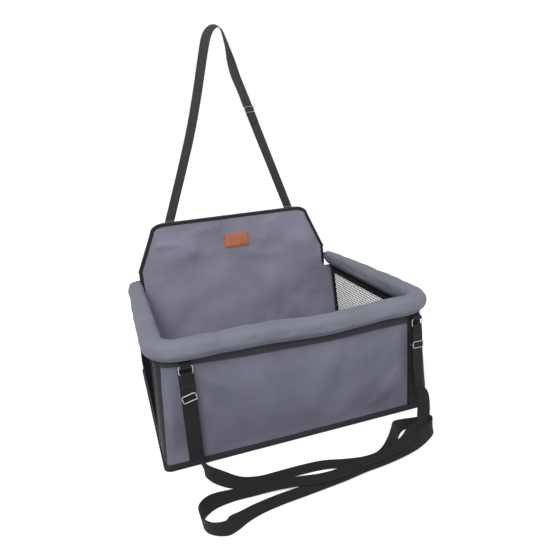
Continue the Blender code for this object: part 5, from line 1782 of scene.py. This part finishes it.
class MakeBase(bpy.types.Operator):
    """Cloth under the base, lining on its board, and the hem all round"""

    bl_idname = "basket.make_base"
    bl_label = "Base and hem"

    def execute(self, context):
        rear = BASE_DEPTH / 2 - TAPE - GAP
        self.panel("base_cloth", "base_panel", 0.0, 0.0, CLOTH, "black_cloth", rear)
        inset = CLOTH + WALL_FOAM + LINING + 3 * GAP + 0.0026
        height = WALL_BOTTOM + BOARD + GAP
        rear = back_middle(0.0) - BACK_HALF_DEPTH - 0.0022
        self.panel("base_lining_cloth", "base_lining", inset, height, LINING, "grey_cloth", rear)
        self.hem()
        return {"FINISHED"}

    def panel(self, name, node, inset, height, thickness, finish, rear):
        half, front, corner = wall_size(0.0, -inset)
        corner = max(corner, 0.002)

        def place(share, row):
            y = mix(front, rear, row)
            past = max(0.0, front + corner - y)
            edge = half - corner + math.sqrt(max(corner**2 - past**2, 0.0))
            hold = ease(min(row, 1 - row, (1 - abs(share)) / 2), 0.0, 0.06)
            rise = 0.0009 * hold * (0.5 + 0.5 * ripple(share * half, y, 0.06, 4.0))
            top = height + thickness + (rise if inset else 0.0)
            return (share * edge, y, top)

        rows = through((0, 0.03, 7), (0.03, 1, 60))
        grid = point_grid(rows, np.linspace(-1, 1, 81), place)
        mesh = layer_mesh(name, grid, thickness, (0, 0, 1))
        piece = riding("basket", name, mesh, finish, node)
        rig.sheet(piece, (2 * half, rear - front), "laid", ["base_board"])
        if inset:
            lines = [lifted(grid, (0, 0, 1), row, slice(2, -2)) for row in (8, -3)]
            lines += [lifted(grid, (0, 0, 1), slice(8, -2), column) for column in (2, -3)]
            sew("lining_stitches", "basket", lines, "grey_thread", "grey_cloth")

    def hem(self):
        """Folded hem that binds the lower edge."""
        rear = back_middle(0.0) + BACK_HALF_DEPTH
        half, front, corner = wall_size(0.003, 0.0)
        path = []
        for centre, radius, first in (
            ((half - corner, front + corner), corner, -90),
            ((half - 0.003, rear - 0.003), 0.003, 0),
            ((0.003 - half, rear - 0.003), 0.003, 90),
            ((corner - half, front + corner), corner, 180),
        ):
            for i in range(9):
                a = math.radians(first + 90 * i / 8)
                path.append((centre[0] + radius * math.cos(a), centre[1] + radius * math.sin(a)))
        path = filled_in(np.array(path), 2, 0.004)
        ahead = unit(np.roll(path, -1, 0) - np.roll(path, 1, 0))
        out = np.column_stack([ahead[:, 1], -ahead[:, 0]])
        profile = [
            (0.0003, 0.0004), (0.0010, 0.00035), (0.0015, 0.0008), (0.0017, 0.0030),
            (0.0018, 0.0060), (0.0017, 0.0090), (0.0014, 0.0106), (0.0009, HEM_HEIGHT),
            (0.0004, 0.0109), (0.0003, 0.0060),
        ]

        def spot(place, away, proud, z):
            bulge = bow(place[0], z, half) if place[1] < front + corner else 0.0
            x, y = place + away * proud
            return (x, y - bulge, z)

        rings, seam = [], []
        for place, away in zip(path, out):
            ring = []
            for proud, z in profile:
                wave = 0.0002 * ripple(place[0] + place[1], z, 0.02, 6.0) if proud > 0.001 else 0.0
                ring.append(spot(place, away, proud + wave, z))
            rings.append(ring)
            seam.append(spot(place, away, 0.00185, 0.0086))
        mesh = swept_mesh("hem_tape", rings, closed=True, outward=False)
        riding("basket", "hem_tape", mesh, "black_cloth", "bottom_binding")
        sew("hem_stitches", "basket", [seam + seam[:1]], "dark_thread", "black_cloth")


# Back and flap


def flap_half(z, inset):
    """Half width of the flap at a height, inset from its bound edge."""
    top, shoulder = FLAP_TOP - inset, FLAP_SHOULDER - inset / 2
    low, high = FLAP_BOTTOM_WIDTH / 2 - inset, FLAP_SHOULDER_WIDTH / 2 - inset
    if z <= shoulder:
        foot = FOLD_HEIGHT + FLAP_LIFT
        return mix(low, high, max(0.0, (z - foot) / (shoulder - foot)))
    rise = min((z - shoulder) / (top - shoulder), 1.0)
    return high - FLAP_CORNER * (1 - math.sqrt(1 - rise * rise))


def back_half(z, inset):
    """Half width of the back cloth: wide wall, neck between the rim's ends, then the flap."""
    if z <= BACK_SHOULDER:
        return wall_size(z, 0.0)[0]
    neck = BACK_NECK / 2
    if z <= FOLD_HEIGHT:
        return neck
    return mix(neck, flap_half(z, inset), ease(z, FOLD_HEIGHT, FOLD_HEIGHT + FLAP_LIFT))


def back_rows(inset):
    """Heights of the back cloth's rows, close together where its outline turns."""
    rows = [np.linspace(WALL_BOTTOM, BACK_SHOULDER, 40)]
    rows += [np.linspace(BACK_SHOULDER + 0.0002, 0.2040, 10)]
    rows += [np.linspace(0.2050, 0.2160, 12), np.linspace(0.2190, FLAP_SHOULDER - inset / 2, 20)]
    top, low = FLAP_TOP - inset, FLAP_SHOULDER - inset / 2
    turns = np.linspace(0, math.pi / 2, 11)[1:]
    rows += [low + (top - low) * np.sin(turns)]
    return np.concatenate(rows)


def label_hold(x, z):
    """0 under the leather patch, and 1 away from it."""
    across = ease(abs(x - LABEL_X), LABEL_WIDTH / 2 + 0.003, LABEL_WIDTH / 2 + 0.014)
    up = ease(abs(z - LABEL_Z), LABEL_HEIGHT / 2 + 0.003, LABEL_HEIGHT / 2 + 0.014)
    return max(across, up)


class MakeBack(bpy.types.Operator):
    """Cloths of the back wall and flap, which run on over the fold between them"""

    bl_idname = "basket.make_back"
    bl_label = "Back cloths"

    def execute(self, context):
        inner, outer = ("back_panel", "flap_panel"), ("back_cover", "flap_cover")
        # The inner cloth is the grey cloth painted lighter, as painted light; its slot stays grey_cloth
        self.cloth("back_inner_cloth", "back_cloth", "grey_cloth", -1, FLAP_FOLDS, inner)
        self.cloth("back_outer_cloth", "black_cloth", "black_cloth", 1, REAR_FOLDS, outer)
        self.fold_roll()
        self.rear_sleeve()
        return {"FINISHED"}

    def cloth(self, name, finish, slot, away, folds, nodes):
        inset = GAP + BINDING_TAPE
        rows, columns = back_rows(inset), np.linspace(-1, 1, 111)
        crown = 0.0002 if away < 0 else 0.0009

        def place(share, z):
            half = back_half(z, inset)
            x = share * half
            lean = BACK_HALF_DEPTH if z < FOLD_HEIGHT else BACK_STACK / 2
            hold = ease(half - abs(x), 0.009, 0.026)
            hold *= 1 - ease(z, FLAP_TOP - 0.026, FLAP_TOP - 0.010)
            hold *= ease(z, 0.004, 0.03)
            if away < 0:
                hold *= label_hold(x, z)
            else:
                below = 1 - ease(z, HELD_FROM - 0.020, HELD_FROM)
                hold *= below + ease(z, HELD_TO, HELD_TO + 0.019)
            proud = hold * (fold_height(x, z, folds) + 0.0003 * ripple(x, z, 0.03, 1.0 + away))
            proud += crown * math.exp(-(((z - FOLD_HEIGHT) / 0.0055) ** 2))
            return (x, back_middle(z) + away * (lean + proud), z)

        grid = point_grid(rows, columns, place)
        mesh = layer_mesh(name, grid, CLOTH - 0.0001, (0, away, 0))
        piece = place_piece(name, mesh, finish, *nodes, slot=slot)
        bend_at_fold(piece)
        boards = ["base_board", "back_stiffener", "flap_stiffener"]
        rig.sheet(piece, BACK_SHEET, "stretched", boards)
        if away > 0:
            low = [i for i, z in enumerate(rows) if z < 0.2040][-1]
            seams = [lifted(grid, (0, away, 0), low, slice(1, -1))]
            sew(name + "_stitches", "basket", seams, "dark_thread", finish)

    def fold_roll(self):
        """Rolled seam inside the fold."""
        half = BACK_NECK / 2
        xs = np.linspace(-half, half, 90)
        centres = np.column_stack([xs, np.full(90, FOLD_Y), np.full(90, FOLD_HEIGHT)])
        radius = [0.0019 + 0.0002 * math.sin(x * 2 * math.pi / 0.006) for x in xs]
        mesh = swept_mesh("fold_cord", round_rings(centres, np.array(radius), 14))
        riding("basket", "fold_cord", mesh, "black_cloth", "fold_seam")

    def rear_sleeve(self):
        """Sleeve sewn behind the back wall for the rear tube."""
        half = RIM_WIDTH / 2
        rear, rear_x = REAR_Y - REAR_CORNER, half - REAR_CORNER
        stations = [(-half, y, -1, 0, 0.0) for y in np.linspace(SLEEVE_END + 0.0006, rear, 3)[:-1]]
        angles = np.radians(180 - 9 * np.arange(10))
        stations += corner_stations(-rear_x, rear, REAR_CORNER, angles, [1.0] * 10)
        stations += [(x, REAR_Y, 0, 1, 0.0) for x in np.linspace(-rear_x, rear_x, 150)[:-1]]
        angles = angles - math.pi / 2
        stations += corner_stations(rear_x, rear, REAR_CORNER, angles, [1.0] * 10)
        stations += [(half, y, 1, 0, 0.0) for y in np.linspace(rear, SLEEVE_END + 0.0006, 3)]

        def radius_at(along, total, angle, corner):
            gather = math.sin(along * 2 * math.pi / 0.0075) * corner * 0.0004
            lump = noise.noise(Vector((along / 0.025, math.cos(angle), math.sin(angle))))
            return REAR_SLEEVE_RADIUS - 0.0004 + gather + 0.0004 * lump

        mesh = padded_sleeve("rear_tube_sleeve", np.array(stations), radius_at, 0.0006)
        riding("basket", "rear_tube_sleeve", mesh, "black_cloth", "rear_sleeve")
        self.flanges(rear_x - 0.004)

    def flanges(self, half):
        """Seam allowances that hold the sleeve to the back wall, with their stitches."""
        meshes, seams = [], []
        for hand in (-1, 1):
            rows = []
            for share in np.linspace(0, 1, 9):
                if share < 0.5:
                    angle = math.radians(mix(60, 118, share * 2))
                    y = REAR_Y + (REAR_SLEEVE_RADIUS + GAP) * math.cos(angle)
                    z = RIM_HEIGHT + hand * (REAR_SLEEVE_RADIUS + GAP) * math.sin(angle)
                else:
                    z = RIM_HEIGHT + hand * mix(0.0085, 0.0160, (share - 0.5) * 2)
                    y = back_middle(z) + BACK_HALF_DEPTH + 0.0011 + 0.0014 * (1 - share) ** 2
                rows.append((y, z))
            grid = np.array([[(x, y, z) for x in np.linspace(-half, half, 60)] for y, z in rows])
            meshes.append(layer_mesh("flange", grid, 0.0008, (0, 1, 0)))
            seams += [lifted(grid, (0, 1, 0), row, slice(1, -1)) for row in (7, 5)]
        mesh = joined("rear_sleeve_flanges", meshes)
        riding("basket", "rear_sleeve_flanges", mesh, "black_cloth")
        sew("rear_sleeve_stitches", "basket", seams, "dark_thread", "black_cloth")


def flap_edge():
    """Points up the flap's bound edge, over its top and down again, with inward directions."""
    low = (FLAP_BOTTOM_WIDTH / 2, FOLD_HEIGHT + FLAP_LIFT)
    shoulder = (FLAP_SHOULDER_WIDTH / 2, FLAP_SHOULDER)
    right = [mix(np.array(low), np.array(shoulder), i / 24) for i in range(24)]
    corner = shoulder[0] - FLAP_CORNER
    for i in range(17):
        turn = i / 16 * math.pi / 2
        z = FLAP_SHOULDER + (FLAP_TOP - FLAP_SHOULDER) * math.sin(turn)
        right.append(np.array((corner + FLAP_CORNER * math.cos(turn), z)))
    top = [np.array((x, FLAP_TOP)) for x in np.linspace(corner, -corner, 80)[1:-1]]
    left = [np.array((-x, z)) for x, z in reversed(right)]
    path = np.array(right + top + left)
    for _ in range(2):
        path[1:-1] = (path[:-2] + 2 * path[1:-1] + path[2:]) / 4
    ahead = unit(np.gradient(path, axis=0))
    return path, np.column_stack([-ahead[:, 1], ahead[:, 0]])


class MakeFlapTrim(bpy.types.Operator):
    """Binding round the flap, its bare leather patch and the sewn strap ends"""

    bl_idname = "basket.make_flap_trim"
    bl_label = "Flap trim"

    def execute(self, context):
        self.binding()
        self.neck_tapes()
        self.patch()
        self.strap_ends()
        return {"FINISHED"}

    def binding(self):
        path, inward = flap_edge()
        half = BACK_STACK / 2 + GAP + BINDING_TAPE
        outer = [(BINDING_WIDTH, half - 0.0001), (BINDING_WIDTH - 0.0006, half + 0.0002)]
        outer += [(x, half) for x in (0.0060, 0.0050, 0.0042, 0.0034)]
        outer += [(0.0020, half - 0.0004), (0.0008, half - 0.0012), (0.0002, half - 0.0022)]
        inner = [(x + (0.0006 if x < 0.0034 else 0.0), y - BINDING_TAPE) for x, y in outer]
        outer = outer + [(0.0, 0.0)] + [(x, -y) for x, y in reversed(outer)]
        inner = inner + [(0.0007, 0.0)] + [(x, -y) for x, y in reversed(inner)]
        profile = outer + inner[::-1]
        rings = []
        for i, ((x, z), (dx, dz)) in enumerate(zip(path, inward)):
            pucker = 0.00018 * math.sin(i * 1.9) + 0.0002 * ripple(x, z, 0.012, 8.0)
            ring = []
            for deep, through in profile:
                swell = 1 + (pucker / half if abs(through) > half - 0.0005 else 0.0)
                ring.append((x + dx * deep, FOLD_Y + through * swell, z + dz * deep))
            rings.append(ring)
        mesh = swept_mesh("flap_edge_tape", rings, outward=False)
        riding("flap", "flap_edge_tape", mesh, "black_cloth", "flap_binding")
        seams = []
        for y in (FOLD_Y - half - 0.0004, FOLD_Y + half + 0.0004):
            seams.append([(x, y, z) for x, z in (path + inward * 0.0056)[1:-1]])
        sew("flap_edge_stitches", "flap", seams, "dark_thread", "black_cloth")

    def neck_tapes(self):
        """Folded tape down the back's edges, from the flap's tape to the rim's ends."""
        half = BACK_STACK / 2 + GAP + BINDING_TAPE
        deep = BINDING_WIDTH
        outer = [(deep, half), (0.0030, half), (0.0010, half - 0.0010), (0.0, 0.0)]
        outer += [(0.0010, 0.0010 - half), (0.0030, -half), (deep, -half)]
        share = 1 - BINDING_TAPE / half
        inner = [(x + (0.0006 if x < 0.0029 else 0.0), y * share) for x, y in outer]
        profile = outer + inner[::-1]
        for side, hand in (("left", -1), ("right", 1)):
            edge = hand * (BACK_NECK / 2 + GAP + BINDING_TAPE)
            rings = [
                [(edge - hand * x, back_middle(z) + y, z) for x, y in profile]
                for z in np.linspace(0.1745, FOLD_HEIGHT + FLAP_LIFT - GAP, 30)
            ]
            name = side + "_neck_tape"
            mesh = swept_mesh(name, rings, outward=False)
            bend_at_fold(place_piece(name, mesh, "black_cloth"))

    def patch(self):
        """Bare leather patch with a rounded edge and a row of stitches."""
        radius, rings = 0.0025, []
        half_x, half_z = LABEL_WIDTH / 2, LABEL_HEIGHT / 2
        face = FOLD_Y - BACK_STACK / 2 - 0.0002

        def outline(inset, y):
            points, r = [], max(radius - inset, 0.0003)
            for turn, across, up in corner_turns():
                x = (half_x - radius) * across + r * math.cos(turn)
                z = (half_z - radius) * up + r * math.sin(turn)
                if inset > radius:
                    x -= math.copysign(inset - radius, x)
                    z -= math.copysign(inset - radius, z)
                curl = 0.0004 * (abs(x) / half_x) ** 3 * (abs(z) / half_z) ** 3
                points.append((LABEL_X + x, y - curl, LABEL_Z + z))
            return points

        for inset, rise in (
            (0.0003, 0.0), (0.0, 0.0003), (0.0, 0.0008), (0.0003, 0.0011), (0.0010, 0.00125),
            (0.0019, 0.0012), (0.0023, 0.00105), (0.0027, 0.0012), (0.0060, 0.0013),
        ):
            rings.append(outline(inset, face - rise))
        mesh = swept_mesh("leather_patch", rings, outward=False)
        riding("flap", "leather_patch", mesh, "leather", "label_patch")
        seam = outline(0.0023, face - 0.00125)
        sew("patch_stitches", "flap", [seam + seam[:1]], "dark_thread", "leather", pitch=0.0026)

    def strap_ends(self):
        """Ends of the headrest strap, sewn to the back of the flap with boxes of stitches."""
        for side, hand, slope in (("left", -1, LEFT_SLOPE), ("right", 1, RIGHT_SLOPE)):
            def spot(across, down, out=0.0):
                x = hand * (STRAP_SPACING / 2 + slope * down) + across
                return (x, STRAP_Y + out, STRAP_AXIS_Z - down)

            centres = [spot(0.0, down) for down in np.linspace(STRAP_END_LENGTH, LAYER, 9)]
            width = HEADREST_WIDTH * math.hypot(1.0, slope)
            name = side + "_strap_end"
            webbing_piece("flap", name, "grey_webbing", centres, [(1, 0, 0)] * 9, [width] * 9)
            low, high, edge = 0.0330, 0.0090, 0.0078
            box = ((-edge, high), (edge, high), (edge, low), (-edge, low))
            corners = [spot(*corner, WEBBING / 2 + 0.0001) for corner in box]
            seams = [corners + corners[:1], corners[::2], corners[1::2]]
            sew(name + "_stitches", "flap", seams, "dark_thread", "grey_webbing", pitch=0.0026)


# Front hardware


def ring_path():
    """Outline of a ring: nearly straight bars, and sides bowed a little."""
    across, up = (RING_WIDTH - RING_WIRE) / 2, (RING_HEIGHT - RING_WIRE) / 2
    found = []
    for i in range(64):
        turn = 2 * math.pi * (i + 0.5) / 64
        x = math.copysign(abs(math.cos(turn)) ** 0.2, math.cos(turn))
        z = math.copysign(abs(math.sin(turn)) ** 0.5, math.sin(turn))
        found.append((across * x, 0.0, up * z - up))
    found = np.array(found)
    for _ in range(2):
        found = (np.roll(found, 1, 0) + 2 * found + np.roll(found, -1, 0)) / 4
    return found


def wire_loop(name, points, wire):
    """Closed loop of round wire that stands upright."""
    return swept_mesh(name, round_rings(points, wire / 2, 12, (0, 1, 0), True), closed=True)


def slider_meshes(width):
    """Wire slider: a rounded frame in front, and a bar that crosses behind."""
    across = (width - SLIDER_WIRE) / 2 - SLIDER_EAR
    up = (SLIDER_HEIGHT - SLIDER_WIRE) / 2
    corner = SLIDER_WIRE
    depth = LAYER + WEBBING / 2 + GAP + SLIDER_WIRE / 2
    loop = []
    for turn, x, z in corner_turns():
        px = x * (across - corner) + corner * math.cos(turn)
        loop.append((px, -depth, z * (up - corner) + corner * math.sin(turn)))
    ear, bent = across + SLIDER_EAR, depth * 0.75
    bar = [(-across, -depth, 0), (-ear, -bent, 0), (-ear, bent, 0), (-across, depth, 0)]
    bar = smooth(bar + [(-x, y, z) for x, y, z in reversed(bar)], 4)
    bar_mesh = swept_mesh("slider_bar", round_rings(bar, SLIDER_WIRE / 2, 12))
    return joined("slider", [wire_loop("slider_frame", loop, SLIDER_WIRE), bar_mesh])


def zigzag(at, out, z, half, count):
    """Seam across webbing, up and down by turns."""
    spots = enumerate(np.linspace(-half, half, count))
    return [at(out, z + 0.0008 * (-1) ** i, across) for i, across in spots]


class MakeHardware(bpy.types.Operator):
    """Rings, sliders, tabs, doubled straps and the webbing sewn under them"""

    bl_idname = "basket.make_hardware"
    bl_label = "Straps and rings"

    def execute(self, context):
        for side in ("left", "right"):
            self.side_set(side)
        tilt = math.radians(HEADREST_SLIDER_TILT)
        place = (right_run(HEADREST_SLIDER), STRAP_Y, HEADREST_SLIDER)
        glide = slider_meshes(HEADREST_SLIDER_WIDTH)
        self.wire("headrest_slider", glide, place, tilt, 0.0, "headrest_adjuster")
        return {"FINISHED"}

    def wire(self, node, mesh, place, tilt, turn, body):
        turned = Matrix.Rotation(turn, 4, "Z") @ Matrix.Rotation(tilt, 4, "Y")
        mesh.transform(Matrix.Translation(place) @ turned)
        mesh.shade_smooth()
        riding(body, node + "_wire", mesh, "steel_wire", node)

    def side_set(self, side):
        hand, inset, turn, bar_drop, slider_drop, tilt, bar_out = HARDWARE[side]
        at, right = strap_frame(side)
        bar_z, slider_z = RIM_HEIGHT - bar_drop, RIM_HEIGHT - slider_drop
        yaw = math.radians(turn)

        def strip(name, path, widths, node, body):
            centres = np.array([at(out, z) for out, z in path], float)
            mesh = webbing_mesh(name, centres, [right] * len(path), widths)
            riding(body, name, mesh, "black_webbing", node)

        def round_bar(z, hand):
            """Webbing bent half round a bar, under it or over it."""
            turns = np.linspace(0, math.pi, 17)
            across, up = LOOP_RADIUS * np.cos(turns), LOOP_RADIUS * np.sin(turns)
            return list(zip(bar_out - across, z + hand * up))

        seat = GAP + BAND + GAP + WEBBING / 2
        fold = round_bar(bar_z, -1)
        rise = TAB_HEIGHT / 2
        tab = [(seat, bar_z + TAB_HEIGHT), (fold[0][0], bar_z + rise), *fold]
        tab += [(fold[-1][0], bar_z + rise), (seat + 2 * LAYER + GAP, bar_z + TAB_HEIGHT)]
        strip(side + "_tab_webbing", tab, [LOOP_WIDTH] * len(tab), side + "_ring_tab", "basket")

        ring = wire_loop(side + "_ring", ring_path(), RING_WIRE)
        self.wire(side + "_ring", ring, at(bar_out, bar_z), 0.0, yaw, side + "_hanger")

        low = bar_z - (RING_HEIGHT - RING_WIRE)
        over = round_bar(low, 1)
        back, front = bar_out - LAYER, bar_out + LAYER
        meet = low - 0.012
        path = [(back, z) for z in np.linspace(LOOP_TAIL, meet, 12)] + over
        path += [(front, z) for z in np.linspace(meet, LOOP_END, 12)]
        widths = [WEBBING_WIDTH] * 12 + [LOOP_WIDTH] * len(over) + [WEBBING_WIDTH] * 12
        widths[11], widths[-12] = 0.0195, 0.0195
        if side == "right":
            for i in range(6):
                widths[i] = widths[-1 - i] = mix(PINCH, WEBBING_WIDTH, ease(i, 0, 5))
        strip(side + "_loop_webbing", path, widths, side + "_strap_loop", side + "_hanger")
        # These stitches are sunk a little, to stay clear of the slider's wire.
        out = front + WEBBING / 2 - 0.00004
        rows = []
        for across in (-0.0075, 0.0075):
            rows.append([at(out, z, across) for z in (meet - 0.004, meet - 0.010)])
        rows.append(zigzag(at, out, meet - 0.005, 0.0072, 13))
        name = side + "_loop_stitches"
        sew(name, side + "_hanger", rows, "dark_thread", "black_webbing", pitch=0.0020)

        glide = slider_meshes(SLIDER_WIDTH)
        tilt = math.radians(-tilt)
        self.wire(side + "_slider", glide, at(bar_out, slider_z), tilt, yaw, side + "_adjuster")
        self.reinforcement(side, hand * (RIM_WIDTH / 2 - inset))
        out = seat + 2 * LAYER + GAP + WEBBING / 2 + 0.0002
        tack = zigzag(at, out, bar_z + TAB_HEIGHT - 0.0016, 0.0068, 11)
        sew(side + "_tab_stitches", "basket", [tack], "dark_thread", "black_webbing", pitch=0.0018)

    def reinforcement(self, side, x):
        """Webbing sewn down the front under the strap."""
        bottom, top = HEM_HEIGHT + GAP, BAND_BOTTOM - GAP
        heights = np.linspace(bottom, top, 40)
        out = 3 * GAP + WEBBING / 2
        edge = REINFORCEMENT_WIDTH / 2
        centres = [front_point(x, z, out) for z in heights]
        sides = [front_point(x + edge, z, out) - front_point(x - edge, z, out) for z in heights]
        widths = [float(side.length) for side in sides]
        name = side + "_reinforcement"
        webbing_piece("basket", name, "black_webbing", centres, sides, widths)
        seams = []
        for across in (-0.0090, 0.0090):
            line = [
                centre + side.normalized() * across + Vector((0, -1, 0)) * (WEBBING / 2 + 0.00025)
                for centre, side in zip(centres, sides)
            ]
            seams.append(line[1:-1])
        sew(name + "_stitches", "basket", seams, "dark_thread", "black_webbing")


class FinishFrame(bpy.types.Operator):
    """Finishes of the tubes, elbows and boards that stay as the frame has them"""

    bl_idname = "basket.finish_frame"
    bl_label = "Tubes and boards"

    def execute(self, context):
        kinds = {"tube": "aluminium", "elbow": "elbow_plastic", "board": "stiff_board"}
        kinds["stiffener"] = "stiff_board"
        for name, node in frame["nodes"].items():
            if node.hide_render:
                continue
            finish = next(kinds[ending] for ending in kinds if name.endswith(ending))
            node.data.materials.clear()
            node.data.materials.append(finish_of(finish))
        return {"FINISHED"}


class BasketPanel(bpy.types.Panel):
    """Sizes, colours and pieces of the basket"""

    bl_idname = "VIEW3D_PT_basket"
    bl_label = "Booster Basket"
    bl_space_type = "VIEW_3D"
    bl_region_type = "UI"
    bl_category = "Basket"

    def draw(self, context):
        scene = context.scene
        for title, settings in (
            ("Cloth", scene.basket_cloth),
            ("Colours", scene.basket_colours),
            ("Stage", scene.basket_stage),
        ):
            box = self.layout.box()
            box.label(text=title)
            for name in settings.bl_rna.properties.keys():
                if name not in ("rna_type", "name"):
                    box.prop(settings, name)
        for maker in MAKERS:
            self.layout.operator(maker.bl_idname)


SETTINGS = {
    "basket_cloth": ClothSettings,
    "basket_colours": ColourSettings,
    "basket_stage": StageSettings,
}
MAKERS = (
    MakeStage,
    MakeFinishes,
    MakeFrontStrap,
    MakeHeadrestStrap,
    MakeRim,
    MakeFront,
    MakeSides,
    MakeBase,
    MakeBack,
    MakeFlapTrim,
    MakeHardware,
    FinishFrame,
)


def register():
    for kind in (*SETTINGS.values(), *MAKERS, BasketPanel):
        bpy.utils.register_class(kind)
    for name, kind in SETTINGS.items():
        setattr(bpy.types.Scene, name, bpy.props.PointerProperty(type=kind))


def unregister():
    for name in SETTINGS:
        delattr(bpy.types.Scene, name)
    for kind in reversed((*SETTINGS.values(), *MAKERS, BasketPanel)):
        bpy.utils.unregister_class(kind)


def main():
    register()
    bpy.ops.basket.make_stage()
    bpy.ops.basket.make_finishes()
    bpy.ops.basket.make_front_strap()
    bpy.ops.basket.make_headrest_strap()
    bpy.ops.basket.make_rim()
    bpy.ops.basket.make_front()
    bpy.ops.basket.make_sides()
    bpy.ops.basket.make_base()
    bpy.ops.basket.make_back()
    bpy.ops.basket.make_flap_trim()
    bpy.ops.basket.make_hardware()
    bpy.ops.basket.finish_frame()
    sizes = {"cad_box": CAD_BOX, "visual_box": [list(corner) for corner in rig.bounds()]}
    with open("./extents.json", "w") as file:
        json.dump(sizes, file)


if __name__ == "__main__":
    main()
